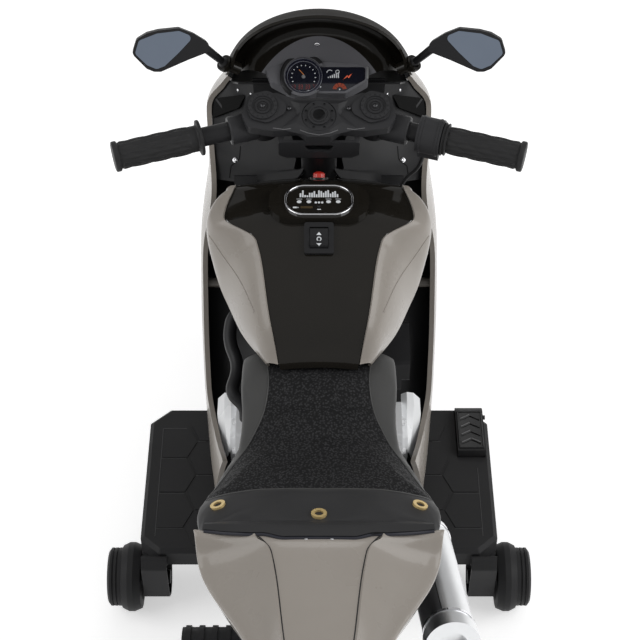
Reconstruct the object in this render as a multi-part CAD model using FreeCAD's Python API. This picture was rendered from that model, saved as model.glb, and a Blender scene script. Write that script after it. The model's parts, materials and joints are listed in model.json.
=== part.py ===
import FreeCAD, Part

import math
import os

V = FreeCAD.Vector

# Overall layout. +Y is forward, +X is the rider's right, +Z is up, the ground is Z = 0.
WHEEL_R = 135.0
WHEEL_W = 62.0
REAR_AXLE_Y = -345.0
AXLE_R = 6.0
PANEL = 3.0
FAIRING_T = 6.0
SEAM = 0.6
RUNNING = 0.05
CLEAR = 0.3

# Steering head. The steering axis leans back by the rake through the top yoke's pivot point.
RAKE = 22.0
PIVOT_Y = 168.0
PIVOT_Z = 622.0
FORK_OFFSET = 12.0
FORK_X = 63.5
FORK_R = 17.0
SLIDER_R = 20.0
COLUMN_R = 12.5
HEAD_R = 21.0
HEAD_TOP = -62.0
HEAD_LOW = -211.0
CROWN_TOP = -213.0
CROWN_LOW = -236.0
YOKE_T = 14.0
NUT_R = 19.0

# Handlebars. Distances along a bar are counted from its fork clamp.
BAR_R = 11.0
BAR_ROOT_Z = -28.0
BAR_SWEEP = 48.0
BAR_RISE = 10.0
BAR_END_X = 230.0
GRIP_R = 15.5
GRIP_START = 80.0
CABLE_R = 2.2
HOUSING_START = 52.0
HOUSING_R = 21.0
POD_DROP = 33.0

# Body shell in two halves.
FRAME_X = 72.0
FRAME_WALL = 4.0
ARM_X = 58.0
BEAM_X = 38.0
FRAME_TOP_Z = 392.0
FLOOR_Z = 100.0

# Footboards and stabilisers.
BOARD_Z = 120.0
BOARD_T = 5.0
BOARD_DEPTH = 28.0
BOARD_FRONT_Y = 171.0
BOARD_REAR_Y = -65.0
BOARD_OUT_X = 224.0
STAB_R = 44.0
STAB_Y = -49.0
STAB_IN_X = 225.0
STAB_TYRE_W = 26.0
STAB_DRUM_W = 17.0
STAB_DRUM_R = 37.0
STAB_PIN_R = 5.0
BRACKET_X = 190.0
BOARD_RIM = 5.0
PAD_H = 1.0
PAD_PITCH = 57.0
PAD_GAP = 3.0

# Foot pedal on the right footboard.
PEDAL_X = 199.0
PEDAL_HALF = 18.0
PEDAL_FRONT_Y = 166.0
PEDAL_LENGTH = 78.0
PEDAL_RISE = 12.0
PEDAL_PIN_R = 3.0

# Drive train on the left of the rear wheel.
GEAR_MODULE = 2.0
WHEEL_TEETH = 42
IDLER_TEETH = 24
PINION_TEETH = 12
GEAR_LINE = 36.0
GEAR_OUT_X = -52.0
GEAR_IN_X = -41.0
HUB_R = 13.0
IDLER_PIN_R = 4.0
SHAFT_R = 4.0
MOTOR_R = 30.0
MOTOR_LENGTH = 82.0
MOTOR_RIBS = 5

# Seat.
SEAT_FRONT_Y = -51.0
SEAT_REAR_Y = -297.0
SEAT_BASE_T = 4.0
EYELET_BORE_R = 4.5
EYELET_R = 8.0
EYELET_T = 3.0

# Controls on the tank.
SWITCH_Y = 59.0
SWITCH_W = 27.0
SWITCH_L = 33.0
BUTTON_Y = 166.0
BUTTON_R = 7.0
MUSIC_Y = 107.0
MUSIC_A = 36.5
MUSIC_B = 23.0
MUSIC_RING = 2.6
ISLAND_A = 57.0
ISLAND_B = 29.5
ISLAND_RISE = 5.0

SIN = math.sin(math.radians(RAKE))
COS = math.cos(math.radians(RAKE))
FORK_DROP = (WHEEL_R - PIVOT_Z - FORK_OFFSET * SIN) / COS
FRONT_AXLE_Y = PIVOT_Y + FORK_OFFSET * COS - FORK_DROP * SIN
TAIL_TIP_Y = -(FRONT_AXLE_Y + WHEEL_R)

parts = {}


# Shape helpers

def box(x0, x1, y0, y1, z0, z1):
    return Part.makeBox(x1 - x0, y1 - y0, z1 - z0, V(x0, y0, z0))


def rod(a, b, r):
    return Part.makeCylinder(r, (b - a).Length, a, b - a)


def tube(a, b, r_out, r_in):
    return rod(a, b, r_out).cut(rod(a, b, r_in))


def mirrored(shape):
    return shape.mirror(V(0, 0, 0), V(1, 0, 0))


def largest(shape):
    return max(shape.Solids, key=lambda s: s.Volume)


def union(shapes):
    first = shapes[0]
    return first.multiFuse(shapes[1:]).removeSplitter() if len(shapes) > 1 else first


def turned(shape, angle, axis, centre):
    out = shape.copy()
    out.rotate(centre, axis, angle)
    return out


def steer(shape):
    out = shape.copy()
    out.rotate(V(0, 0, 0), V(1, 0, 0), RAKE)
    out.translate(V(0, PIVOT_Y, PIVOT_Z))
    return out


def steer_point(p):
    return V(p.x, PIVOT_Y + p.y * COS - p.z * SIN, PIVOT_Z + p.y * SIN + p.z * COS)


def outline(points, radius, place):
    corners = []
    count = len(points)
    for i, p in enumerate(points):
        a = V(*points[i - 1], 0) - V(*p, 0)
        b = V(*points[(i + 1) % count], 0) - V(*p, 0)
        half = a.getAngle(b) / 2
        cut = min(radius / math.tan(half), 0.45 * a.Length, 0.45 * b.Length)
        a.normalize()
        b.normalize()
        mid = a + b
        mid.normalize()
        r = cut * math.tan(half)
        c = V(*p, 0)
        corners.append((c + a * cut, c + mid * (r / math.sin(half) - r), c + b * cut))
    edges = []
    for i, (start, mid, end) in enumerate(corners):
        edges.append(Part.Arc(place(start), place(mid), place(end)).toShape())
        follow = corners[(i + 1) % count][0]
        if (follow - end).Length > 1e-4:
            edges.append(Part.LineSegment(place(end), place(follow)).toShape())
    return Part.Wire(edges)


def prism(points, radius, axis, low, high):
    place = {
        "x": lambda p: V(low, p.x, p.y),
        "y": lambda p: V(p.x, low, p.y),
        "z": lambda p: V(p.x, p.y, low),
    }[axis]
    step = {"x": V(high - low, 0, 0), "y": V(0, high - low, 0), "z": V(0, 0, high - low)}[axis]
    return Part.Face(outline(points, radius, place)).extrude(step)


def stadium(cx, cy, a, b, z0, z1):
    corners = [(cx - a, cy - b), (cx + a, cy - b), (cx + a, cy + b), (cx - a, cy + b)]
    return prism(corners, 0.9 * b, "z", z0, z1)


def along(stations, t):
    if t <= stations[0][0]:
        return list(stations[0][1:])
    if t >= stations[-1][0]:
        return list(stations[-1][1:])
    k = max(i for i in range(len(stations) - 1) if stations[i][0] <= t)
    h = stations[k + 1][0] - stations[k][0]
    s = (t - stations[k][0]) / h
    out = []
    for c in range(1, len(stations[0])):
        def rise(i):
            return (stations[i + 1][c] - stations[i][c]) / (stations[i + 1][0] - stations[i][0])

        def slope(i):
            if i == 0:
                return rise(0)
            if i == len(stations) - 1:
                return rise(i - 1)
            a, b = rise(i - 1), rise(i)
            return 0.0 if a * b <= 0 else 2 * a * b / (a + b)

        p, q = stations[k][c], stations[k + 1][c]
        m, n = slope(k) * h, slope(k + 1) * h
        s2, s3 = s * s, s * s * s
        out.append((2 * s3 - 3 * s2 + 1) * p + (s3 - 2 * s2 + s) * m
                   + (3 * s2 - 2 * s3) * q + (s3 - s2) * n)
    return out


def by_y(rows):
    return sorted([tuple(row) for row in rows])


def solid_between(top, low):
    surfaces = []
    for rows in (top, low):
        s = Part.BSplineSurface()
        s.interpolate(rows)
        surfaces.append(s)
    faces = [s.toShape() for s in surfaces]
    for side in range(4):
        edges = []
        for s in surfaces:
            u0, u1, v0, v1 = s.bounds()
            curve = (s.uIso(u0), s.uIso(u1), s.vIso(v0), s.vIso(v1))[side]
            edges.append(curve.toShape())
        faces.append(Part.makeRuledSurface(edges[0], edges[1], 1))
    shell = Part.makeShell(faces)
    shell.sewShape()
    solid = Part.makeSolid(shell)
    if solid.Volume < 0:
        solid.reverse()
    return solid


def panel(surface, out, inside, nu=11, nv=15):
    tops, lows = [], []
    step = 1e-3
    for i in range(nu):
        u = i / (nu - 1)
        top, low = [], []
        for j in range(nv):
            v = j / (nv - 1)
            p = surface(u, v)
            du = surface(min(u + step, 1), v) - surface(max(u - step, 0), v)
            dv = surface(u, min(v + step, 1)) - surface(u, max(v - step, 0))
            n = du.cross(dv)
            n.normalize()
            top.append(p + n * out)
            low.append(p - n * inside)
        tops.append(top)
        lows.append(low)
    return solid_between(tops, lows)


def standoff(skin, base, direction, r, support):
    d = V(direction)
    d.normalize()
    line = Part.LineSegment(base, base + d * 400).toShape().common(skin)
    near = min(line.Vertexes, key=lambda p: (p.Point - base).Length).Point
    post = rod(base - d * 6, near + d * (PANEL * 0.5), r).cut(support)
    post = min(post.Solids, key=lambda s: s.CenterOfMass.distanceToPoint(near))
    return skin.fuse(post)


def rounded_path(points, radius):
    edges = []
    start = points[0]
    for i in range(1, len(points) - 1):
        p = points[i]
        a = points[i - 1] - p
        b = points[i + 1] - p
        half = a.getAngle(b) / 2
        cut = min(radius / math.tan(half), 0.45 * a.Length, 0.45 * b.Length)
        a.normalize()
        b.normalize()
        r = cut * math.tan(half)
        mid = a + b
        mid.normalize()
        edges.append(Part.LineSegment(start, p + a * cut).toShape())
        edges.append(Part.Arc(p + a * cut, p + mid * (r / math.sin(half) - r), p + b * cut).toShape())
        start = p + b * cut
    edges.append(Part.LineSegment(start, points[-1]).toShape())
    return Part.Wire(edges)


def gear(y, z, teeth, x0, x1, first_tooth):
    pitch = GEAR_MODULE * teeth / 2
    tip, root = pitch + 0.85 * GEAR_MODULE, pitch - 1.15 * GEAR_MODULE
    points = []
    for k in range(teeth):
        for share, r in ((-0.30, root), (-0.11, tip), (0.11, tip), (0.30, root)):
            a = first_tooth + 2 * math.pi * (k + share) / teeth
            points.append(V(x0, y + r * math.cos(a), z + r * math.sin(a)))
    points.append(points[0])
    return Part.Face(Part.makePolygon(points)).extrude(V(x1 - x0, 0, 0))


def facing(centre, normal, shape):
    out = shape.copy()
    out.Placement = FreeCAD.Placement(centre, FreeCAD.Rotation(V(0, 0, 1), normal))
    return out


# Frame halves: a hollow moulded body with the steering head, wheel arms and tail beam

def head_point(y, z):
    p = steer_point(V(0, y, z))
    return (p.y, p.z)


MOTOR_DIR = math.radians(GEAR_LINE)
IDLER_DIST = GEAR_MODULE * (WHEEL_TEETH + IDLER_TEETH) / 2
MOTOR_DIST = IDLER_DIST + GEAR_MODULE * (IDLER_TEETH + PINION_TEETH) / 2
IDLER = (REAR_AXLE_Y + IDLER_DIST * math.cos(MOTOR_DIR), WHEEL_R + IDLER_DIST * math.sin(MOTOR_DIR))
MOTOR = (REAR_AXLE_Y + MOTOR_DIST * math.cos(MOTOR_DIR), WHEEL_R + MOTOR_DIST * math.sin(MOTOR_DIR))
WELL_Y = REAR_AXLE_Y + WHEEL_R + 14.0

MAIN = [
    head_point(-9, HEAD_LOW + 62), head_point(-9, HEAD_LOW + 5), head_point(-54, HEAD_LOW + 5),
    (204, 300), (204, 135), (180, FLOOR_Z), (-120, FLOOR_Z), (WELL_Y, 140),
    (WELL_Y, FRAME_TOP_Z), (-12, FRAME_TOP_Z), (50, 450), (120, 474),
]
ARM = [
    (-150, FLOOR_Z + 6), (-150, 262), (-235, 244), (REAR_AXLE_Y + 40, 210), (REAR_AXLE_Y - 34, 172),
    (REAR_AXLE_Y - 44, WHEEL_R), (REAR_AXLE_Y - 32, 104), (-210, 98),
]
BEAM = [
    (WELL_Y + 6, FRAME_TOP_Z), (WELL_Y + 6, 318), (-262, 318), (-400, 376), (-424, 412), (-414, 424),
    (-300, 404),
]


def slab(face, half):
    out = face.copy()
    out.translate(V(-half, 0, 0))
    return out.extrude(V(2 * half, 0, 0))


main_face = Part.Face(outline(MAIN, 9, lambda p: V(0, p.x, p.y)))
cavity = slab(main_face.makeOffset2D(-FRAME_WALL), FRAME_X - FRAME_WALL)
main_solid = slab(main_face, FRAME_X)
beam_face = Part.Face(outline(BEAM, 6, lambda p: V(0, p.x, p.y)))
beam_solid = slab(beam_face, BEAM_X)
beam = beam_solid.cut(slab(beam_face.makeOffset2D(-FRAME_WALL), BEAM_X - FRAME_WALL))
beam = largest(beam.cut(main_solid))
arm = prism(ARM, 14, "x", ARM_X, FRAME_X)
head = steer(rod(V(0, 0, HEAD_LOW), V(0, 0, HEAD_TOP), HEAD_R))
bore = steer(rod(V(0, 0, HEAD_LOW - 5), V(0, 0, HEAD_TOP + 5), COLUMN_R + RUNNING))
axle_hole = rod(V(-200, REAR_AXLE_Y, WHEEL_R), V(200, REAR_AXLE_Y, WHEEL_R), AXLE_R)
whole_frame = union([main_solid.cut(cavity), beam, arm, mirrored(arm), head]).cut(bore).cut(axle_hole)
right_side = box(0, 2 * FRAME_X, -600, 600, 0, 800)
frame_half = largest(whole_frame.common(right_side))
shaft_hole = rod(V(-FRAME_X - 1, *MOTOR), V(-ARM_X + 1, *MOTOR), 6.0)
idler_pin = rod(V(-ARM_X - 4, *IDLER), V(GEAR_IN_X + 1, *IDLER), IDLER_PIN_R)
frame_left = mirrored(frame_half).cut(shaft_hole).fuse(idler_pin).removeSplitter()
parts["frame_right"] = frame_half
parts["frame_left"] = frame_left
frame_outer = main_solid.fuse(beam_solid).fuse(head)

# Battery on the cavity floor
floor = FLOOR_Z + FRAME_WALL
parts["battery"] = prism([(-33, -100), (33, -100), (33, 50), (-33, 50)], 4, "z", floor, floor + 95)


# Steering group, drawn upright with the pivot at the origin and then laid to the rake

YOKE = [(-87, 2), (-80, -13), (-52, -18), (-24, -16), (-13, -25), (13, -25), (24, -16), (52, -18),
        (80, -13), (87, 2), (80, 29), (48, 31), (30, 24), (-30, 24), (-48, 31), (-80, 29)]
column_hole = rod(V(0, 0, -300), V(0, 0, 50), COLUMN_R)
yoke = prism(YOKE, 6, "z", -YOKE_T, 0)
STAR_LOW = [(-46, -15), (-14, -23), (14, -23), (46, -15), (25, 3), (34, 22), (-34, 22), (-25, 3)]
STAR_TOP = [(-25, -9), (-12, -19), (12, -19), (25, -9), (21, 3), (22, 15), (-22, 15), (-21, 3)]
star = Part.makeLoft([Part.makePolygon([V(x, y, z) for x, y in ring + ring[:1]])
                      for ring, z in ((STAR_LOW, -0.5), (STAR_TOP, 4.0))], True, True)
star = star.cut(Part.makeCylinder(NUT_R + 0.6, 9, V(0, 0, 0)))
APRON = [(-46, -YOKE_T - 30), (-38, -YOKE_T - 37), (38, -YOKE_T - 37), (46, -YOKE_T - 30),
         (46, -YOKE_T), (-46, -YOKE_T)]
apron = prism(APRON, 4, "y", -25, -9)
hollow = [(-43, -YOKE_T - 28), (-36, -YOKE_T - 34), (36, -YOKE_T - 34), (43, -YOKE_T - 28),
          (43, -YOKE_T), (-43, -YOKE_T)]
apron = apron.cut(prism(hollow, 3, "y", -22, 0))
window = [(-13, -YOKE_T - 22), (13, -YOKE_T - 22), (19, -YOKE_T - 7), (-19, -YOKE_T - 7)]
apron = apron.cut(prism(window, 4, "y", -30, -20))
parts["top_yoke"] = steer(union([yoke, star, apron]).cut(column_hole))
caps = []
for side in (-1, 1):
    cx = side * FORK_X
    tip = side * (FORK_X - 34)
    drop = prism([(tip, 9), (cx - side * 6, FORK_OFFSET + 21), (cx + side * 16, FORK_OFFSET + 15),
                  (cx + side * 16, FORK_OFFSET - 15), (cx - side * 6, FORK_OFFSET - 21)], 11, "z", 0, 3)
    disc = Part.makeCylinder(16.5, 5, V(cx, FORK_OFFSET, 0))
    dish = Part.makeCylinder(12.5, 3, V(cx, FORK_OFFSET, 3.6))
    button = Part.makeCylinder(3.2, 2.2, V(cx, FORK_OFFSET, 3))
    caps.append(steer(drop.fuse(disc).cut(dish).fuse(button).removeSplitter()))
nut = Part.makeCylinder(NUT_R, 3, V(0, 0, 0)).fuse(Part.makeCylinder(12.5, 6, V(0, 0, 0)))
nut = nut.cut(Part.makeCylinder(7, 3, V(0, 0, 4)))
for k in range(8):
    a = math.radians(45 * k + 22.5)
    nut = nut.cut(Part.makeCylinder(1.7, 2, V(15.7 * math.cos(a), 15.7 * math.sin(a), 1.6)))
parts["yoke_caps"] = Part.makeCompound(caps + [steer(nut)])

CROWN = [(-84, -10), (-40, -20), (40, -20), (84, -10), (84, 30), (50, 36), (-50, 36), (-84, 30)]
crown = prism(CROWN, 8, "z", CROWN_LOW, CROWN_TOP)
parts["steering_column"] = steer(union([crown, rod(V(0, 0, CROWN_TOP - 2), V(0, 0, 0), COLUMN_R)]))

legs = []
for side in (-1, 1):
    x = side * FORK_X
    upper = rod(V(x, FORK_OFFSET, FORK_DROP + 100), V(x, FORK_OFFSET, CROWN_LOW), FORK_R)
    lower = rod(V(x, FORK_OFFSET, FORK_DROP + 30), V(x, FORK_OFFSET, FORK_DROP + 165), SLIDER_R)
    collar = rod(V(x, FORK_OFFSET, FORK_DROP + 165), V(x, FORK_OFFSET, FORK_DROP + 175), SLIDER_R + 2)
    lug = prism([(FORK_OFFSET - 17, FORK_DROP - 20), (FORK_OFFSET + 17, FORK_DROP - 20),
                 (FORK_OFFSET + 17, FORK_DROP + 46), (FORK_OFFSET - 17, FORK_DROP + 46)],
                11, "x", x - 13, x + 13)
    hole = rod(V(x - 40, FORK_OFFSET, FORK_DROP), V(x + 40, FORK_OFFSET, FORK_DROP), AXLE_R)
    legs.append(steer(union([upper, lower, collar, lug]).cut(hole)))
parts["fork_legs"] = Part.makeCompound(legs)
axle_end = FORK_X + 13
front_axle = rod(V(-axle_end, FORK_OFFSET, FORK_DROP), V(axle_end, FORK_OFFSET, FORK_DROP), AXLE_R)
for side in (-1, 1):
    a = V(side * axle_end, FORK_OFFSET, FORK_DROP)
    front_axle = front_axle.fuse(rod(a, a + V(side * 7, 0, 0), AXLE_R + 4.5))
parts["front_axle"] = steer(front_axle.removeSplitter())

bar_root = V(FORK_X, FORK_OFFSET - 5, BAR_ROOT_Z)
bar_end = V(BAR_END_X, bar_root.y - BAR_SWEEP, BAR_ROOT_Z + BAR_RISE)
bar_length = (bar_end - bar_root).Length
bar_dir = bar_end - bar_root
bar_dir.normalize()


def on_bar(s):
    return bar_root + bar_dir * s


clamp = rod(V(FORK_X, FORK_OFFSET, BAR_ROOT_Z - 15), V(FORK_X, FORK_OFFSET, -YOKE_T), 20)
boss = rod(on_bar(8), on_bar(34), 16)
bar = union([clamp, boss, rod(on_bar(6), on_bar(bar_length - 4), BAR_R)])
bar = bar.cut(box(0, 100, -60, 80, -YOKE_T, 20))
parts["handlebars"] = Part.makeCompound([steer(mirrored(bar)), steer(bar)])


def grip(bore_r):
    sleeve = rod(on_bar(GRIP_START), on_bar(bar_length), GRIP_R)
    flange = rod(on_bar(GRIP_START), on_bar(GRIP_START + 4), GRIP_R + 5)
    end = rod(on_bar(bar_length - 5), on_bar(bar_length + 2), GRIP_R + 2)
    bore_rod = rod(on_bar(GRIP_START - 1), on_bar(bar_length - 4 + CLEAR), bore_r)
    return union([sleeve, flange, end]).cut(bore_rod)


parts["grip_left"] = steer(mirrored(grip(BAR_R)))
parts["throttle_grip"] = steer(grip(BAR_R + RUNNING))
housing_end = GRIP_START - CLEAR
housing = rod(on_bar(HOUSING_START), on_bar(housing_end), HOUSING_R)
pod = prism([(-14, -POD_DROP), (15, -POD_DROP), (15, 0), (-14, 0)], 5, "x", -12, 12)
pod.Placement = FreeCAD.Placement(on_bar((HOUSING_START + housing_end) / 2),
                                  FreeCAD.Rotation(V(1, 0, 0), bar_dir))
housing = union([housing, pod]).cut(rod(on_bar(0), on_bar(bar_length), BAR_R))
parts["throttle_housing"] = steer(housing)

# Throttle cable from the throttle housing down past the tank into the frame
cable_top = steer_point(on_bar((HOUSING_START + housing_end) / 2) + V(-6, -3, -POD_DROP))
cable_path = rounded_path([cable_top, cable_top + V(0, 6, -26), V(98, 186, 512), V(92, 176, 478),
                           V(FRAME_X, 168, 452)], 90)
cable_bends = [round(e.Curve.Radius, 1) for e in cable_path.Edges if hasattr(e.Curve, "Radius")]
print("throttle cable bends, mm:", cable_bends)
cable_ring = Part.Wire([Part.Circle(cable_top, cable_top.sub(cable_top + V(0, 6, -26)), CABLE_R).toShape()])
cable = cable_path.makePipeShell([cable_ring], True, False)
parts["throttle_cable"] = largest(cable.cut(frame_outer).cut(parts["throttle_housing"]))

# Front mudguard over the tyre, held between the fork legs
GUARD_R = WHEEL_R + 7
GUARD_W = WHEEL_W / 2 + 9
front_centre = V(0, FRONT_AXLE_Y, WHEEL_R)


def mudguard(centre, start, sweep, half, shell):
    section = [V(-half, 0, GUARD_R - 22), V(-half + 5, 0, GUARD_R - 4), V(-half + 16, 0, GUARD_R),
               V(half - 16, 0, GUARD_R), V(half - 5, 0, GUARD_R - 4), V(half, 0, GUARD_R - 22)]
    outer = [V(p.x * (1 + shell / half), 0, p.z + (shell if abs(p.x) < half - 1 else 0)) for p in section]
    wire = Part.makePolygon(section + outer[::-1] + [section[0]])
    face = Part.Face(wire)
    face.translate(centre)
    face.rotate(centre, V(1, 0, 0), start)
    return face.revolve(centre, V(1, 0, 0), sweep)


guard = mudguard(front_centre, -62, 128, GUARD_W, PANEL)
for side in (-1, 1):
    foot = V(side * (GUARD_W - 2), FORK_OFFSET, FORK_DROP + 125)
    ear = steer(rod(foot, V(side * FORK_X, FORK_OFFSET, FORK_DROP + 125), 6))
    guard = guard.fuse(ear.cut(Part.makeCompound(legs)))
wheel_space = rod(V(-GUARD_W, FRONT_AXLE_Y, WHEEL_R), V(GUARD_W, FRONT_AXLE_Y, WHEEL_R), GUARD_R - 14)
parts["front_mudguard"] = largest(guard.cut(wheel_space))


# Wheels

def wheel_tyre(y):
    r, w = WHEEL_R, WHEEL_W / 2
    rim = r - 36
    profile = [(rim, -w + 6), (r - 26, -w), (r - 12, -w), (r - 4, -w + 10), (r, -w + 20), (r, w - 20),
               (r - 4, w - 10), (r - 12, w), (r - 26, w), (rim, w - 6)]
    wire = outline(profile, 7, lambda p: V(p.y, y, WHEEL_R + p.x))
    tyre = Part.Face(wire).revolve(V(0, y, WHEEL_R), V(1, 0, 0), 360)
    for x in (-11, 0, 11):
        groove = rod(V(x - 1.5, y, WHEEL_R), V(x + 1.5, y, WHEEL_R), r + 5)
        tyre = tyre.cut(groove.cut(rod(V(x - 2, y, WHEEL_R), V(x + 2, y, WHEEL_R), r - 3)))
    return tyre


def wheel_rim(y, hub_left, hub_right):
    c = V(0, y, WHEEL_R)
    w = WHEEL_W / 2 - 6
    rim_r = WHEEL_R - 36
    ring = tube(c + V(-w, 0, 0), c + V(w, 0, 0), rim_r, rim_r - 9)
    hub = rod(c + V(-hub_left, 0, 0), c + V(hub_right, 0, 0), HUB_R)
    shapes = [ring, hub, rod(c + V(-22, 0, 0), c + V(22, 0, 0), 26)]
    for k in range(5):
        for lean in (-9, 9):
            spoke = prism([(18, -5), (rim_r - 4, -4), (rim_r - 4, 4), (18, 5)], 0.5, "x", -14, 14)
            spoke = turned(spoke, 72 * k + lean, V(1, 0, 0), V(0, 0, 0))
            spoke.translate(c)
            shapes.append(spoke)
    return union(shapes).cut(rod(c + V(-99, 0, 0), c + V(99, 0, 0), AXLE_R + RUNNING))


front_hub = FORK_X - 13 - 0.5
parts["front_tyre"] = wheel_tyre(FRONT_AXLE_Y)
parts["front_rim"] = wheel_rim(FRONT_AXLE_Y, front_hub, front_hub)
parts["rear_tyre"] = wheel_tyre(REAR_AXLE_Y)
parts["rear_rim"] = wheel_rim(REAR_AXLE_Y, ARM_X - 0.5, ARM_X - 0.5)
rear_axle = rod(V(-FRAME_X, REAR_AXLE_Y, WHEEL_R), V(FRAME_X, REAR_AXLE_Y, WHEEL_R), AXLE_R)
for side in (-1, 1):
    a = V(side * FRAME_X, REAR_AXLE_Y, WHEEL_R)
    rear_axle = rear_axle.fuse(rod(a, a + V(side * 7, 0, 0), AXLE_R + 4.5))
parts["rear_axle"] = rear_axle.removeSplitter()

# Gear train: wheel gear on the rear hub, idler on a pin, pinion on the motor shaft
hub_hole = rod(V(-90, REAR_AXLE_Y, WHEEL_R), V(0, REAR_AXLE_Y, WHEEL_R), HUB_R)
wheel_gear = gear(REAR_AXLE_Y, WHEEL_R, WHEEL_TEETH, GEAR_OUT_X, GEAR_IN_X, MOTOR_DIR)
parts["wheel_gear"] = wheel_gear.cut(hub_hole)
idler_gap = MOTOR_DIR + math.pi + math.pi / IDLER_TEETH
idler_hole = rod(V(-90, *IDLER), V(0, *IDLER), IDLER_PIN_R + RUNNING)
parts["idler_gear"] = gear(*IDLER, IDLER_TEETH, GEAR_OUT_X, GEAR_IN_X, idler_gap).cut(idler_hole)
pinion = gear(*MOTOR, PINION_TEETH, GEAR_OUT_X, GEAR_IN_X, MOTOR_DIR + math.pi)
shaft = rod(V(-FRAME_X - 14, *MOTOR), V(GEAR_IN_X, *MOTOR), SHAFT_R)
parts["motor_pinion"] = union([pinion, shaft])

# Gearbox case on the inner face of the left arm
case_out = [
    (REAR_AXLE_Y - 50, WHEEL_R - 20), (REAR_AXLE_Y - 20, WHEEL_R - 50), (REAR_AXLE_Y + 30, WHEEL_R - 46),
    (MOTOR[0] + 18, MOTOR[1] - 16), (MOTOR[0] + 18, MOTOR[1] + 8), (MOTOR[0] + 4, MOTOR[1] + 18),
    (IDLER[0] - 8, IDLER[1] + 30), (REAR_AXLE_Y - 10, WHEEL_R + 52), (REAR_AXLE_Y - 50, WHEEL_R + 28)]
case = prism(case_out, 12, "x", -ARM_X, -36)
case_face = Part.Face(outline(case_out, 12, lambda p: V(-ARM_X - 1, p.x, p.y)))
case = case.cut(case_face.makeOffset2D(-2.2).extrude(V(ARM_X + 1 - 38.5, 0, 0)))
case = case.cut(rod(V(-60, REAR_AXLE_Y, WHEEL_R), V(0, REAR_AXLE_Y, WHEEL_R), HUB_R + 1))
parts["gearbox_case"] = largest(case.cut(frame_left))

motor_out = -FRAME_X - MOTOR_LENGTH
motor = rod(V(-FRAME_X, *MOTOR), V(motor_out, *MOTOR), MOTOR_R)
for k in range(MOTOR_RIBS):
    x = -FRAME_X - 12 - 15 * k
    motor = motor.fuse(rod(V(x, *MOTOR), V(x - 6, *MOTOR), MOTOR_R + 2))
parts["drive_motor"] = motor.cut(rod(V(-FRAME_X + 1, *MOTOR), V(-FRAME_X - 15, *MOTOR), SHAFT_R + RUNNING))

# Rear mudguard between the beam and the wheel
rear_centre = V(0, REAR_AXLE_Y, WHEEL_R)
rear_guard = mudguard(rear_centre, -38, 96, WHEEL_W / 2 + 5, PANEL)
for dy in (35, -20):
    rear_guard = standoff(rear_guard, V(0, REAR_AXLE_Y + dy, 360), V(0, 0, -1), 11, frame_outer)
parts["rear_mudguard"] = rear_guard.removeSplitter()


# Footboards, stabiliser arms and wheels

BOARD = [(FRAME_X, BOARD_FRONT_Y), (BOARD_OUT_X - 26, BOARD_FRONT_Y), (BOARD_OUT_X, BOARD_FRONT_Y - 24),
         (BOARD_OUT_X, BOARD_REAR_Y + 22), (BOARD_OUT_X - 24, BOARD_REAR_Y), (FRAME_X, BOARD_REAR_Y)]
BOARD_TOP = [(FRAME_X, BOARD_FRONT_Y - BOARD_RIM), (BOARD_OUT_X - 28, BOARD_FRONT_Y - BOARD_RIM),
             (BOARD_OUT_X - BOARD_RIM, BOARD_FRONT_Y - 26), (BOARD_OUT_X - BOARD_RIM, BOARD_REAR_Y + 24),
             (BOARD_OUT_X - 26, BOARD_REAR_Y + BOARD_RIM), (FRAME_X, BOARD_REAR_Y + BOARD_RIM)]
slope = [outline(BOARD, 4, lambda p: V(p.x, p.y, BOARD_Z - BOARD_RIM)),
         outline(BOARD_TOP, 4, lambda p: V(p.x, p.y, BOARD_Z))]
board = prism(BOARD, 4, "z", BOARD_Z - BOARD_DEPTH, BOARD_Z - BOARD_RIM)
board = board.fuse(Part.makeLoft(slope, True, True)).removeSplitter()
board_face = Part.Face(outline(BOARD, 4, lambda p: V(p.x, p.y, BOARD_Z - BOARD_DEPTH)))
pocket = board_face.makeOffset2D(-FRAME_WALL).extrude(V(0, 0, BOARD_DEPTH - BOARD_T))
arm_pad = box(186, 214, BOARD_REAR_Y + 2, BOARD_REAR_Y + 44, BOARD_Z - BOARD_DEPTH, BOARD_Z - 1)
arm_pad = arm_pad.common(board)
PAD_OUT, PAD_MID, PAD_IN = BOARD_OUT_X - 20, BOARD_OUT_X - 52, FRAME_X + 7
pad_half = (PAD_PITCH - PAD_GAP) / 2


def outer_pad(y):
    rear, front = max(y - pad_half, BOARD_REAR_Y + 9), min(y + pad_half, BOARD_FRONT_Y - 12)
    points = [(PAD_OUT, front), (PAD_MID, front)]
    points += [(PAD_MID - 12, y)] if rear < y < front else []
    return prism(points + [(PAD_MID, rear), (PAD_OUT, rear)], 1.5, "z", BOARD_Z - 1, BOARD_Z + PAD_H)


def inner_pad(y):
    rear, front = max(y - pad_half, BOARD_REAR_Y + 9), min(y + pad_half, BOARD_FRONT_Y - 12)
    points = [(PAD_IN, rear), (PAD_MID - 15, rear)]
    points += [(PAD_MID - 4, y)] if rear < y < front else []
    return prism(points + [(PAD_MID - 15, front), (PAD_IN, front)], 1.5, "z", BOARD_Z - 1, BOARD_Z + PAD_H)


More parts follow.
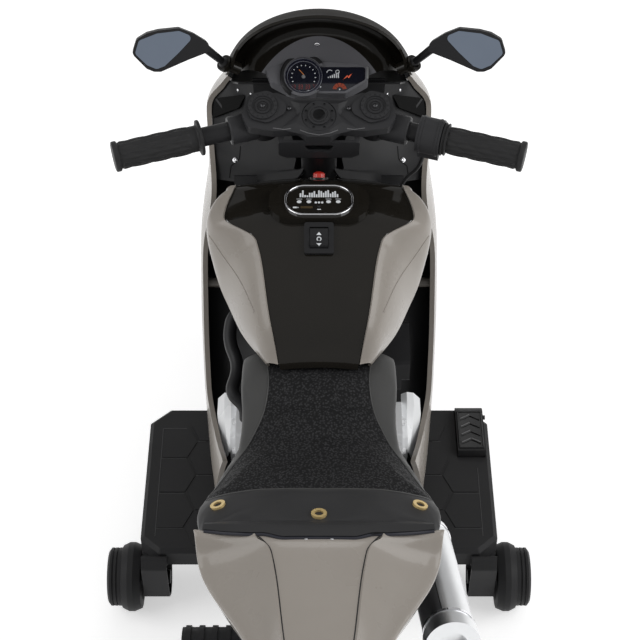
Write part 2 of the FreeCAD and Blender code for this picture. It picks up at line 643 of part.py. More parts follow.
pad_row = BOARD_REAR_Y + 63
outer_pads = [outer_pad(pad_row + PAD_PITCH * k) for k in range(3)]
inner_pads = [inner_pad(pad_row + PAD_PITCH * (k - 0.5)) for k in range(4)]
plain_board = board.cut(pocket).fuse(arm_pad).cut(frame_outer)
board_left = union([plain_board] + outer_pads + inner_pads)
pedal_rear = PEDAL_FRONT_Y - PEDAL_LENGTH
well = box(PEDAL_X - PEDAL_HALF - 8, PEDAL_X + PEDAL_HALF + 6, pedal_rear - 8, PEDAL_FRONT_Y + 4,
           BOARD_Z - BOARD_DEPTH, BOARD_Z - 1)
opening = box(PEDAL_X - PEDAL_HALF - 0.6, PEDAL_X + PEDAL_HALF + 0.6, pedal_rear - 2.5, PEDAL_FRONT_Y + 1.6,
              BOARD_Z - BOARD_DEPTH + 3, BOARD_Z + 5)
pin_y, pin_z = PEDAL_FRONT_Y - 5, BOARD_Z - 8
pin = rod(V(PEDAL_X - PEDAL_HALF - 5, pin_y, pin_z), V(PEDAL_X + PEDAL_HALF + 5, pin_y, pin_z), PEDAL_PIN_R)
pin_hole = rod(V(PEDAL_X - PEDAL_HALF - 5.3, pin_y, pin_z), V(PEDAL_X + PEDAL_HALF + 5.3, pin_y, pin_z),
               PEDAL_PIN_R + RUNNING)
board_right = union([plain_board] + outer_pads[:2] + inner_pads + [well.common(board)])
board_right = board_right.cut(opening).cut(pin_hole)
parts["footboard_left"] = mirrored(board_left)
parts["footboard_right"] = board_right
pedal_side = [(PEDAL_FRONT_Y, BOARD_Z - 12), (PEDAL_FRONT_Y, BOARD_Z + PEDAL_RISE - 6),
              (PEDAL_FRONT_Y - 10, BOARD_Z + PEDAL_RISE), (pedal_rear, BOARD_Z + PEDAL_RISE),
              (pedal_rear, BOARD_Z - 4)]
pedal = prism(pedal_side, 2, "x", PEDAL_X - PEDAL_HALF, PEDAL_X + PEDAL_HALF)
for k in range(6):
    y = pedal_rear + 9 + 10 * k
    slot = box(PEDAL_X - PEDAL_HALF + 4, PEDAL_X + PEDAL_HALF - 4, y, y + 4,
               BOARD_Z + PEDAL_RISE - 1.5, BOARD_Z + PEDAL_RISE + 5)
    pedal = pedal.cut(slot)
parts["foot_pedal"] = union([pedal, pin])

under = BOARD_Z - BOARD_DEPTH
arms = []
for side in (-1, 1):
    wedge = [(BOARD_REAR_Y - 15, under + 8), (BOARD_REAR_Y - 7, BOARD_Z - 8), (BOARD_REAR_Y, BOARD_Z - 8),
             (BOARD_REAR_Y, under), (STAB_Y + 34, under), (STAB_Y + 22, STAB_R - 10),
             (STAB_Y + 8, STAB_R - 24), (STAB_Y - 10, STAB_R - 24), (STAB_Y - 27, STAB_R - 6)]
    plate = prism(wedge, 5, "x", side * BRACKET_X, side * (STAB_IN_X - 3))
    wedge_face = Part.Face(outline(wedge, 5, lambda p: V(side * (BRACKET_X - 1), p.x, p.y)))
    plate = plate.cut(board if side > 0 else mirrored(board))
    plate = plate.cut(wedge_face.makeOffset2D(-3).extrude(V(side * (STAB_IN_X - 3 - BRACKET_X - 3), 0, 0)))
    inner, outer = side * 190.0, side * (STAB_IN_X + STAB_TYRE_W + STAB_DRUM_W - 2)
    stub = rod(V(inner, STAB_Y, STAB_R), V(outer, STAB_Y, STAB_R), STAB_PIN_R)
    stub = stub.fuse(rod(V(side * 190, STAB_Y, STAB_R), V(side * 196, STAB_Y, STAB_R), STAB_PIN_R + 4))
    arms.append(union([plate, stub]))
parts["stabiliser_arms"] = Part.makeCompound(arms)

t0, t1 = STAB_IN_X, STAB_IN_X + STAB_TYRE_W
t2 = t1 + STAB_DRUM_W
stab_profile = [
    (0, t0 + 5), (26, t0 + 5), (30, t0), (STAB_R - 4, t0 + 1), (STAB_R, t0 + 10), (STAB_R, t1 - 9),
    (STAB_R - 4, t1 - 1), (STAB_DRUM_R, t1), (STAB_DRUM_R, t2 - 3), (STAB_DRUM_R - 4, t2), (0, t2),
]
wire = Part.makePolygon([V(p[1], STAB_Y, STAB_R + p[0]) for p in stab_profile + stab_profile[:1]])
stab = Part.Face(wire).revolve(V(0, STAB_Y, STAB_R), V(1, 0, 0), 360)
for k in range(2):
    x = t1 + 4 + 5 * k
    ring = tube(V(x, STAB_Y, STAB_R), V(x + 2, STAB_Y, STAB_R), STAB_DRUM_R + 1, STAB_DRUM_R - 2)
    stab = stab.cut(ring)
stab = stab.cut(rod(V(0, STAB_Y, STAB_R), V(t2 - 2 + CLEAR, STAB_Y, STAB_R), STAB_PIN_R + RUNNING))
parts["stabiliser_wheel_right"] = stab
parts["stabiliser_wheel_left"] = mirrored(stab)


# Tank: black centre cover with control island, and painted sides

TANK = by_y([
    (186, 66, 515, 5), (168, 84, 529, 7), (143, 97, 545, 9), (98, 107, 545, 12), (63, 70, 537, 6),
    (-20, 53, 488, 5), (-50, 43, 442, 4),
])
TANK_FRONT, TANK_REAR = TANK[-1][0], TANK[0][0]


def tank_top(u, v):
    y = TANK_FRONT + (TANK_REAR - TANK_FRONT) * v
    half, z, drop = along(TANK, y)
    k = 2 * u - 1
    return V(half * k, y, z - drop * k * k)


tank = panel(lambda u, v: tank_top(1 - u, v), 0, PANEL, 11, 23)

SIDE = [
    (0.0, 147, 104, 136, 527), (0.22, 112, 125, 108, 498), (0.45, 74, 114, 74, 455),
    (0.62, 46, 101, 46, 441), (0.80, 8, 85, 10, 434), (1.0, -46, 55, -36, 431),
]


def tank_flank(u, v):
    y, low_x, low_y, low_z = along(SIDE, v)
    half, z, drop = along(TANK, y)
    top = V(half + SEAM, y, z - drop)
    low = V(low_x, low_y, low_z)
    p = top + (low - top) * u
    bulge = 4 * u * (1 - u) * min(10.0, 0.35 * (low - top).Length)
    return p + V(bulge * 0.8, 0, bulge * 0.6)


flank = panel(tank_flank, 0, PANEL, 7, 19)
island_z = along(TANK, MUSIC_Y)[1] + ISLAND_RISE
island = stadium(0, MUSIC_Y, ISLAND_A, ISLAND_B, island_z - ISLAND_RISE - 7, island_z)
tank = tank.fuse(island)
ring_a, ring_b = MUSIC_A + MUSIC_RING, MUSIC_B + MUSIC_RING
tank = tank.cut(stadium(0, MUSIC_Y, ring_a, ring_b, island_z - 4, island_z + 5))
ring = stadium(0, MUSIC_Y, ring_a, ring_b, island_z - 4, island_z + 3)
ring = ring.cut(stadium(0, MUSIC_Y, MUSIC_A, MUSIC_B, island_z - 5, island_z + 5))
ring_top = [e for e in ring.Edges if e.BoundBox.ZMin > island_z + 2.9]
parts["music_bezel"] = ring.makeFillet(0.45 * MUSIC_RING, ring_top)
parts["music_panel"] = stadium(0, MUSIC_Y, MUSIC_A, MUSIC_B, island_z - 4, island_z + 1)


def tank_normal(y):
    a, b = along(TANK, y + 12)[1], along(TANK, y - 12)[1]
    n = V(0, -(a - b) / 24.0, 1)
    n.normalize()
    return n


switch_normal = tank_normal(SWITCH_Y)
switch_at = V(0, SWITCH_Y, along(TANK, SWITCH_Y)[1])
ow, ol = SWITCH_W / 2, SWITCH_L / 2
case_box = box(-ow + 1, ow - 1, -ol + 1, ol - 1, -16, 1)
rim_out = [(-ow - 3, -ol - 3), (ow + 3, -ol - 3), (ow + 3, ol + 3), (-ow - 3, ol + 3)]
rim_box = prism(rim_out, 3, "z", 0.4, 4)
opening = box(-ow + 3, ow - 3, -ol + 3, ol - 3, -13, 9)
trunnion = rod(V(-ow + 1.6, 0, -2), V(ow - 1.6, 0, -2), 1.4)
trunnion_hole = rod(V(-ow + 1.3, 0, -2), V(ow - 1.3, 0, -2), 1.4 + RUNNING)
switch = union([case_box, rim_box]).cut(opening).cut(trunnion_hole)
parts["switch_frame"] = facing(switch_at, switch_normal, switch)
rocker_side = [(-ol + 3.6, -8), (ol - 3.6, -8), (ol - 3.4, 6.6), (0, 4.2), (-ol + 3.4, 6.6)]
rocker = prism(rocker_side, 0.8, "x", -ow + 3.4, ow - 3.4)
rocker = rocker.common(rod(V(-50, 0, -2), V(50, 0, -2), ol - 3.3))
parts["rocker"] = facing(switch_at, switch_normal, union([rocker, trunnion]))
tank = tank.cut(facing(switch_at, switch_normal, case_box)).cut(facing(switch_at, switch_normal, rim_box))

button_normal = tank_normal(BUTTON_Y)
button_at = V(0, BUTTON_Y, along(TANK, BUTTON_Y)[1])
sleeve = Part.makeCylinder(BUTTON_R + 3, 14, V(0, 0, -12.5))
collar = Part.makeCylinder(BUTTON_R + 5, 2, V(0, 0, 0.6))
guide = Part.makeCylinder(BUTTON_R + CLEAR, 11.5, V(0, 0, -8.5))
bezel = facing(button_at, button_normal, union([sleeve, collar]).cut(guide))
dome = Part.makeSphere(1.5 * BUTTON_R, V(0, 0, -1))
button = Part.makeCylinder(BUTTON_R, 16, V(0, 0, -5.5)).common(dome)
parts["start_button"] = facing(button_at, button_normal, button)
tank = union([tank.cut(facing(button_at, button_normal, sleeve)), bezel])
for y in (120, 10):
    tank = standoff(tank, V(30, y, 440), V(0, 0, 1), 5, frame_outer)
    tank = standoff(tank, V(-30, y, 440), V(0, 0, 1), 5, frame_outer)
parts["tank_cover"] = largest(tank.removeSplitter())
for y, z in ((95, 455), (20, 438)):
    flank = standoff(flank, V(FRAME_X - 4, y, z), V(1, 0, 0.5 if y > 50 else 0.25), 4, frame_outer)
parts["tank_side_right"] = flank
parts["tank_side_left"] = mirrored(flank)


# Seat: base board and soft pad with crown, drawn-in sides and seam channels

SEAT = by_y([
    (SEAT_FRONT_Y, 85, 437, FRAME_TOP_Z), (-99, 84, 428, FRAME_TOP_Z), (-135, 87, 427, FRAME_TOP_Z),
    (-168, 101, 432, FRAME_TOP_Z), (-200, 112, 442, FRAME_TOP_Z + 5), (-232, 121, 453, FRAME_TOP_Z + 10),
    (-262, 126, 463, FRAME_TOP_Z + 22), (SEAT_REAR_Y, 121, 474, FRAME_TOP_Z + 38),
])


def seat_point(u, v, level):
    k = 2 * u - 1
    y = SEAT_FRONT_Y + (SEAT_REAR_Y - SEAT_FRONT_Y) * v
    half, top, low = along(SEAT, y)
    bow = 26 * k * k * (1 - v) ** 3 + 20 * k * k * v ** 5
    edge = abs(k) ** 6
    if level == "low":
        return V((half - 3) * k, y + bow, low + SEAT_BASE_T)
    crown = 5 * k * k + 17 * edge
    roll = 5 * max(0.0, 1 - v / 0.08) ** 2 + 5 * max(0.0, (v - 0.94) / 0.06) ** 2
    return V(half * k, y + bow, top - crown - roll)


def seat_grid(level, nu, nv):
    return [[seat_point(i / (nu - 1), j / (nv - 1), level) for j in range(nv)] for i in range(nu)]


pad = solid_between(seat_grid("top", 21, 27), seat_grid("low", 21, 27))
board_low = [[V(p.x, p.y, p.z - SEAT_BASE_T) for p in row] for row in seat_grid("low", 21, 27)]
parts["seat_base"] = largest(solid_between(seat_grid("low", 21, 27), board_low).cut(frame_outer))

SEAM_LINE = [(-44, 57), (-80, 54), (-105, 57), (-135, 72), (-170, 96), (-212, 112)]
for side in (-1, 1):
    points = []
    for y, x in SEAM_LINE:
        v = (y - SEAT_FRONT_Y) / (SEAT_REAR_Y - SEAT_FRONT_Y)
        v = max(v, 0.0)
        half = along(SEAT, y)[0]
        p = seat_point(0.5 + side * x / half / 2, v, "top")
        points.append(V(p.x, p.y + (6 if v == 0.0 else 0), p.z + 0.8))
    curve = Part.BSplineCurve()
    curve.interpolate(points)
    path = Part.Wire([curve.toShape()])
    start = curve.tangent(curve.FirstParameter)[0]
    circle = Part.Wire([Part.Circle(points[0], start, 2.2).toShape()])
    pad = pad.cut(path.makePipeShell([circle], True, True))
eyelets = []
EYELETS = ((-104, -250), (0, -272), (104, -250))
for x, y in EYELETS:
    bow = 0.0
    for _ in range(8):
        v = (y - bow - SEAT_FRONT_Y) / (SEAT_REAR_Y - SEAT_FRONT_Y)
        half = along(SEAT, y - bow)[0]
        k = x / half
        bow = 26 * k * k * (1 - v) ** 3 + 20 * k * k * v ** 5
    u = 0.5 + k / 2
    at = seat_point(u, v, "top")
    du = seat_point(u + 0.002, v, "top") - seat_point(u - 0.002, v, "top")
    dv = seat_point(u, v + 0.002, "top") - seat_point(u, v - 0.002, "top")
    n = dv.cross(du)
    n.normalize()
    if n.z < 0:
        n = n * -1
    seatpad_cut = facing(at, n, Part.makeCylinder(EYELET_R, 12, V(0, 0, -EYELET_T)))
    well_cut = facing(at, n, Part.makeCylinder(EYELET_BORE_R + 1, 14, V(0, 0, -16)))
    pad = pad.cut(seatpad_cut).cut(well_cut)
    lip = Part.makeCylinder(EYELET_R, EYELET_T + 1.2, V(0, 0, -EYELET_T))
    eyelets.append(facing(at, n, lip.cut(Part.makeCylinder(EYELET_BORE_R, 20, V(0, 0, -10)))))
parts["seat_pad"] = largest(pad)
parts["seat_eyelets"] = Part.makeCompound(eyelets)


# Tail: centre strip, two folded sides and the tail light

TAIL = by_y([
    (-300, 64, 474), (-326, 47, 478), (-428, 33, 479), (TAIL_TIP_Y + 8, 23, 470),
])
TAIL_SIDE = [
    (0.0, -303, 124, -286, 458, 113, -286, 418), (0.16, -328, 117, -322, 440, 104, -322, 396),
    (0.55, -412, 72, -408, 450, 62, -405, 412),
    (1.0, TAIL_TIP_Y + 9, 27, TAIL_TIP_Y + 9, 462, 24, TAIL_TIP_Y + 11, 441),
]


def tail_top(u, v):
    y = TAIL[-1][0] + (TAIL[0][0] - TAIL[-1][0]) * v
    half, z = along(TAIL, y)
    k = 2 * u - 1
    return V(-half * k, y, z - 2.0 * k * k)


def tail_flank(u, v):
    y, ex, ey, ez, lx, ly, lz = along(TAIL_SIDE, v)
    half, z = along(TAIL, y)
    top = V(half + SEAM, y, z - 2.0)
    edge = V(ex, ey, ez)
    low = V(lx, ly, lz)
    if u < 0.6:
        k = u / 0.6
        return top + (edge - top) * k - V(0, 0, 5.0 * math.sin(math.pi * k))
    return edge + (low - edge) * ((u - 0.6) / 0.4)


strip = panel(tail_top, 0, PANEL, 7, 17)
for y in (-320, -375):
    strip = standoff(strip, V(0, y, 405), V(0, 0, 1), 5, frame_outer)
parts["tail_top"] = strip
tail_side = panel(tail_flank, 0, PANEL, 16, 15)
for y, z in ((-320, 410), (-400, 420)):
    tail_side = standoff(tail_side, V(BEAM_X - 4, y, z), V(1, 0, 0), 4, frame_outer)
parts["tail_side_right"] = tail_side
parts["tail_side_left"] = mirrored(tail_side)
light = prism([(-21, 444), (21, 444), (22, 462), (-22, 462)], 3, "y", TAIL_TIP_Y, TAIL_TIP_Y + 6)
stem = box(-9, 9, TAIL_TIP_Y + 6, -400, 446, 452)
stem = stem.fuse(box(-9, 9, -440, -400, 405, 452))
parts["tail_light"] = light.fuse(stem).cut(frame_outer).removeSplitter()


# Front cowl: windscreen, nose, headlights, side fairings and inner panels

SCREEN = [
    (0.0, 213, 725, 97, 226, 645), (0.5, 268, 694, 103, 262, 612), (1.0, 334.6, 644.4, 109.8, 303.6, 572.4),
]
NOSE = [
    (0.0, 335, 644, 110, 304, 572), (0.5, 400, 590, 103, 352, 562), (1.0, 462, 512, 91, 403, 551),
]
FAIRING = [
    (0.0, 111, 306, 564, 93, 403, 545), (0.15, 136, 286, 540, 108, 404, 505),
    (0.30, 129, 207, 480, 122, 392, 448), (0.45, 142, 176, 400, 131, 352, 372),
    (0.60, 144, 150, 312, 134, 300, 285), (0.75, 139, 75, 266, 131, 225, 175),
    (0.88, 127, 10, 262, 126, 70, 140), (1.0, 114, -50, 278, 114, -62, 152),
]


def hooded(stations):
    def surface(u, v):
        cy, cz, sx, sy, sz = along(stations, v)
        a = math.radians(-88 + 176 * u)
        k = 1 - math.cos(a)
        return V(-sx * math.sin(a), cy + (sy - cy) * k, cz + (sz - cz) * k)
    return surface


def fairing(u, v):
    def swept(t):
        ax, ay, az, bx, by, bz = along(FAIRING, t)
        a, b = V(ax, ay, az), V(bx, by, bz)
        return a + (b - a) * u + V(40 * u * (1 - u), 0, 0)

    joined = max(0.0, 1 - v / FAIRING[1][0])
    nose_edge = hooded(NOSE)(0, u) - V(0, 0, SEAM + CLEAR)
    return swept(v) + (nose_edge - swept(0)) * joined


skin = panel(lambda u, v: fairing(1 - u, v), 0, FAIRING_T, 9, 25)
screen = panel(hooded(SCREEN), 0, PANEL, 17, 9)
nose = panel(hooded(NOSE), 0, PANEL, 17, 9)
skin = largest(skin.cut(nose))
lamp_out = [(18, 520), (70, 552), (84, 566), (60, 566), (24, 548)]
lamps, lamp_holes = [], []
for side in (-1, 1):
    points = [(side * x, z) for x, z in lamp_out]
    lamps.append(nose.common(prism(points, 4, "y", 340, 520)))
    face = Part.Face(outline(points, 4, lambda p: V(p.x, 340, p.y)))
    lamp_holes.append(face.makeOffset2D(SEAM).extrude(V(0, 180, 0)))
nose = nose.cut(lamp_holes[0]).cut(lamp_holes[1])
parts["headlights"] = Part.makeCompound([largest(lamp) for lamp in lamps])
parts["nose_cowl"] = largest(nose)
for y, z in ((130, 200), (-46, 186), (188, 340)):
    skin = standoff(skin, V(FRAME_X - 4, y, z), V(1, 0, 0), 6, frame_outer)
parts["side_fairing_right"] = skin
parts["side_fairing_left"] = mirrored(skin)

INNER = [
    (0.0, 0.015, 72, 268, 600), (0.25, 0.06, 60, 258, 574), (0.6, 0.15, 30, 226, 543),
    (1.0, 0.29, 24, 192, 510),
]
LINING = [
    (0.0, 0.26, 97, -8, 12), (0.25, 0.42, 93, -10, 10), (0.5, 0.58, 77, -10, 12), (0.75, 0.78, 74, -10, 14),
    (1.0, 0.985, 74, -4, 8),
]


def fairing_inside(u, v):
    step = 1e-3
    dv = fairing(u, v + step) - fairing(u, v - step)
    du = fairing(u + step, v) - fairing(u - step, v)
    n = dv.cross(du)
    n.normalize()
    return fairing(u, v) - n * (FAIRING_T + SEAM + CLEAR)


def inner_skin(u, v):
    edge, ix, iy, iz = along(INNER, v)
    o, i = fairing_inside(0.06, edge), V(ix, iy, iz)
    return o + (i - o) * u - V(0, 0, 26 * u * (1 - u))


def lining_skin(u, v):
    edge, ix, dy, dz = along(LINING, v)
    o = fairing_inside(0.32, edge)
    return o + (V(ix, o.y + dy, o.z + dz) - o) * u


inner = panel(lambda u, v: inner_skin(1 - u, v), 0, PANEL, 7, 13)
inner = largest(inner.cut(skin))
lining = panel(lambda u, v: lining_skin(1 - u, v), 0, PANEL, 5, 15)
lining = largest(lining.cut(skin).cut(inner))

# Silver engine covers on the frame sides, black air box on the right and hose on the left
COVER = [(-28, 205), (-16, 190), (40, 190), (52, 204), (52, 268), (38, 284), (-14, 284), (-28, 268)]
COVER_STEP = [(-16, 216), (-8, 205), (34, 205), (44, 216), (44, 256), (32, 270), (-6, 270), (-16, 258)]
cover = prism(COVER, 4, "x", FRAME_X, FRAME_X + 28)
cover = cover.fuse(prism(COVER_STEP, 3, "x", FRAME_X + 28, FRAME_X + 35))
for y, z in ((-21, 262), (-21, 211), (45, 262), (45, 211), (12, 277), (12, 197)):
    cover = cover.fuse(rod(V(FRAME_X + 28, y, z), V(FRAME_X + 32, y, z), 4))
cover = cover.removeSplitter()
parts["engine_covers"] = Part.makeCompound([cover, mirrored(cover)])
lining = largest(lining.cut(cover))
BOX_LOW = [(26, 318), (112, 318), (124, 336), (124, 372), (104, 384), (26, 366)]
BOX_TOP = [(34, 326), (92, 326), (100, 338), (100, 362), (88, 370), (34, 358)]
air_box = prism(BOX_LOW, 4, "x", FRAME_X, FRAME_X + 26)
air_box = air_box.fuse(prism(BOX_TOP, 4, "x", FRAME_X + 26, FRAME_X + 36))
HOSE_R = 8.0
hose_points = [V(-FRAME_X + 2, 118, 366), V(-FRAME_X - 32, 116, 362), V(-FRAME_X - 38, 88, 340),
               V(-FRAME_X - 24, 58, 326), V(-FRAME_X - 34, 24, 316), V(-FRAME_X - 16, 12, 306),
               V(-FRAME_X - 16, 12, 280)]
hose_path = rounded_path(hose_points, 60)
hose_ring = Part.Wire([Part.Circle(hose_points[0], hose_points[1] - hose_points[0], HOSE_R).toShape()])
hose = hose_path.makePipeShell([hose_ring], True, False)
hose = largest(hose.cut(frame_outer).cut(mirrored(cover)))
parts["inner_panels"] = Part.makeCompound(
    [inner, mirrored(inner), lining, mirrored(lining), air_box.removeSplitter(), hose])


# Dashboard on a bracket in front of the steering head

DASH_N = V(0, -math.cos(math.radians(57)), math.sin(math.radians(57)))
DASH_AT = V(0, 242, 614)
DIAL_X, DIAL_Y, DIAL_R = -18.0, 6.5, 22.0
DASH = [(-29, -14), (31, -14), (57, 1), (58, 21), (12, 24), (-40, 25), (-63, 17), (-56, 1)]
DISPLAY = [(-20, -11.5), (30, -11.5), (53.5, 2.5), (54, 18), (-20, 18)]


def dial(r, low, high):
    return Part.makeCylinder(r, high - low, V(DIAL_X, DIAL_Y, low))


dash = union([prism(DASH, 4, "z", -24, 0), dial(DIAL_R + 3.5, -24, 4)])
dash = dash.cut(prism(DISPLAY, 3, "z", -4, 40)).cut(dial(DIAL_R, -4, 40))
face_plate = union([prism(DISPLAY, 3, "z", -4, -1.2), dial(DIAL_R, -4, -1.2)])


def dash_place(shape):
    out = shape.copy()
    out.rotate(V(0, 0, 0), V(1, 0, 0), 33)
    out.translate(DASH_AT)
    return out


def dash_hood(u, v):
    a = math.radians(-88 + 176 * u)
    k, x = 1 - math.cos(a), math.sin(a)
    step = 1e-3
    place = hooded(SCREEN)
    s = place(1 - u, 0.62)
    du = place(min(1, 1 - u + step), 0.62) - place(max(0, 1 - u - step), 0.62)
    n = (place(1 - u, 0.62 + step) - place(1 - u, 0.62 - step)).cross(du)
    n.normalize()
    if n.z < 0:
        n = n * -1
    rim = s - n * (PANEL + 2 * SEAM)
    arch = V(78 * x, 268 - 13 * k, 662 - 42 * k)
    foot = V(56 * x, 266 - 12 * k, 620 - 8 * k)
    rows = [(0.0, rim.x, rim.y, rim.z), (0.35, arch.x, arch.y, arch.z), (1.0, foot.x, foot.y, foot.z)]
    return V(*along(rows, v))


hood = panel(dash_hood, 0, PANEL, 19, 11)
bracket = rod(DASH_AT - DASH_N * 20, steer_point(V(0, 0, HEAD_TOP - 30)), 9)
dash_body = union([dash_place(dash), bracket, hood])
for shape in (dash_place(prism(DISPLAY, 3, "z", -4, 40)), dash_place(dial(DIAL_R, -4, 40)),
              frame_outer, screen, inner, mirrored(inner)):
    dash_body = dash_body.cut(shape)
parts["dash_housing"] = largest(dash_body)
parts["dash_face"] = dash_place(face_plate)


# Mirrors on ball feet at the sides of the windscreen

BALL_R = 7.0
GLASS_T = 1.8
ball_at = V(108, 240, 642)
head_at = V(170, 218, 680)
glass_n = V(-0.18, -0.9, 0.32)
glass_n.normalize()
MIRROR_FACE = [(39.8, -0.5), (33.7, 14), (21.3, 19.8), (7.9, 21.7), (-15.7, 21.3), (-31.4, 12.8),
               (-46, 1.3), (-48.3, -9.4), (-21.3, -16.6), (10.1, -26.5), (18, -25.5), (25.8, -21),
               (38.2, -4.5)]
MIRROR_GLASS = [(37, -2), (31, 12.6), (10, 18.2), (-15, 18.2), (-30.5, 9.3), (-12, -7), (5.3, -20.5),
                (14.7, -23), (25, -17)]
MIRROR_BACK = [(0.0, 1.0), (-8.0, 0.98), (-15.0, 0.84), (-20.0, 0.55)]


def mirror_place(shape):
    out = shape.copy()
    up = V(0, 0, 1) - glass_n * glass_n.z
    up.normalize()
    out.Placement = FreeCAD.Placement(head_at, FreeCAD.Rotation(up.cross(glass_n), up, glass_n, "ZXY"))
    return out


def scaled(points, k):
    return [(x * k, y * k) for x, y in points]


sections = [outline(scaled(MIRROR_FACE, k), 6 * k, lambda p, z=z: V(p.x, p.y, z)) for z, k in MIRROR_BACK]
shell = Part.makeLoft(sections, True, True)
glass_face = Part.Face(outline(MIRROR_GLASS, 5, lambda p: V(p.x, p.y, -GLASS_T - 0.4)))
glass = glass_face.extrude(V(0, 0, GLASS_T))
pocket = glass_face.makeOffset2D(SEAM / 2).extrude(V(0, 0, GLASS_T + 5))
tail_end = mirror_place(Part.Vertex(V(-40, -4.5, -8))).Point
arm_dir = tail_end - ball_at
stalk = union([Part.makeSphere(BALL_R, ball_at), Part.makeCone(4.2, 5.2, arm_dir.Length, ball_at, arm_dir)])
mirror = union([mirror_place(shell), stalk]).cut(mirror_place(pocket))
parts["mirror_glass_right"] = mirror_place(glass)
parts["mirror_glass_left"] = mirrored(parts["mirror_glass_right"])
parts["mirror_right"] = largest(mirror)
parts["mirror_left"] = mirrored(parts["mirror_right"])
arm_dir.normalize()
foot = union([Part.makeSphere(BALL_R + 3, ball_at), rod(V(92, 242, 632), ball_at, 7)])
foot = foot.cut(Part.makeSphere(BALL_R + RUNNING, ball_at))
foot = foot.cut(rod(ball_at + arm_dir * 2.5, ball_at + arm_dir * 30, 20))
foot = largest(foot.cut(screen))
screen = union([screen, foot, mirrored(foot)])
socket = Part.makeSphere(BALL_R + RUNNING, ball_at)
screen = largest(screen.cut(socket).cut(mirrored(socket)))
parts["windscreen"] = screen


# Silencer and its bracket

PIPE_A, PIPE_B = V(124, -130, 236), V(140, -312, 306)
pipe_dir = PIPE_B - PIPE_A
pipe_dir.normalize()
can = rod(PIPE_A, PIPE_B, 28)
can = can.fuse(Part.makeCone(12, 28, 34, PIPE_A - pipe_dir * 34, pipe_dir))
tip = rod(PIPE_B, PIPE_B + pipe_dir * 18, 30)
tip = tip.cut(rod(PIPE_B + pipe_dir * 4, PIPE_B + pipe_dir * 30, 16))
hanger = rod(V(FRAME_X - 4, -175, 252), V(110, -175, 252), 7).cut(frame_outer).cut(can)
parts["silencer"] = Part.makeCompound([union([can, largest(hanger)]), tip])


os.makedirs("parts", exist_ok=True)
for node, shape in parts.items():
    shape.exportStep("parts/%s.step" % node)
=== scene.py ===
"""Looks of a child's electric motorbike: finishes for its parts, and the trim, seat, dials and lines they carry."""

import json
import math

import bmesh
import bpy
import numpy as np
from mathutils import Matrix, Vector


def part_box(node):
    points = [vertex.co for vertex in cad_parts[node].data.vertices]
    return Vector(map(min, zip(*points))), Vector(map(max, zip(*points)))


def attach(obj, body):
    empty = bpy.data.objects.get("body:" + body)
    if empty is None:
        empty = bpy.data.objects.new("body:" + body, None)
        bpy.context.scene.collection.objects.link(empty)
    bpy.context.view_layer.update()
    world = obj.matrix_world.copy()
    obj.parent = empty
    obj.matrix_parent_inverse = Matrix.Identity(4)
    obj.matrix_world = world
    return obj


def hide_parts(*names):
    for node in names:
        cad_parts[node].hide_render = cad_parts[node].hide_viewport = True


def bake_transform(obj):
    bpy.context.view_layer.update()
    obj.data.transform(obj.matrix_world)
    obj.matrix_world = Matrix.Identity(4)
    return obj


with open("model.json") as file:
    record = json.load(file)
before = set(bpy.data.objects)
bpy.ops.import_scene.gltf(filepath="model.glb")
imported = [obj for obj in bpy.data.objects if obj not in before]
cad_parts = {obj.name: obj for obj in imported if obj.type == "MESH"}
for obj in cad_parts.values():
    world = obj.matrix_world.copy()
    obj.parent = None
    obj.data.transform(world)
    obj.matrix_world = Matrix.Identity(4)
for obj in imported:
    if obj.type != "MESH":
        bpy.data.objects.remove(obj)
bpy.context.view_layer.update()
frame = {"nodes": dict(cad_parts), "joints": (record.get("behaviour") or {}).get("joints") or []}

bl_info = {
    "name": "Kids electric motorbike",
    "version": (1, 0, 0),
    "blender": (4, 5, 0),
    "location": "View3D > Sidebar > Motorbike",
    "description": "Dresses the parts of a child's electric motorbike",
    "category": "Object",
}

# Millimetres to metres
MM = 0.001


def joint_named(name):
    """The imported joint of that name."""
    return next(j for j in frame["joints"] if j["name"] == name)


def unit(v):
    """A vector, or rows of vectors, at length one."""
    v = np.asarray(v, float)
    return v / np.linalg.norm(v, axis=-1, keepdims=True)


# Steering frame: its third axis is the steering axis and its first is the rider's right
PIVOT = np.array(joint_named("steering_turn")["pos_m"])
STEER_Z = unit(joint_named("steering_turn")["axis"])
STEER_X = np.array([1.0, 0.0, 0.0])
STEER_Y = np.cross(STEER_Z, STEER_X)

# Right handlebar: a point at its fork clamp and its direction outwards
BAR_ROOT = np.array(joint_named("throttle_twist")["pos_m"])
BAR_DIR = unit(joint_named("throttle_twist")["axis"])

# Camera behind and above the seat, in the frame of a 640 by 640 picture
PICTURE = 640
CAM_TILT = math.radians(46.0)
CAM_DISTANCE = 2.1
CAM_TARGET = np.array([0.0, 0.132, 0.330])
FOCAL_PIXELS = 1700.0
CENTRE_PIXEL = (319.0, 320.0)
SENSOR = 36.0
CAM_BACK = np.array([0.0, -math.cos(CAM_TILT), math.sin(CAM_TILT)])
CAM_AT = CAM_TARGET + CAM_BACK * CAM_DISTANCE
CAM_UP = np.array([0.0, math.sin(CAM_TILT), math.cos(CAM_TILT)])


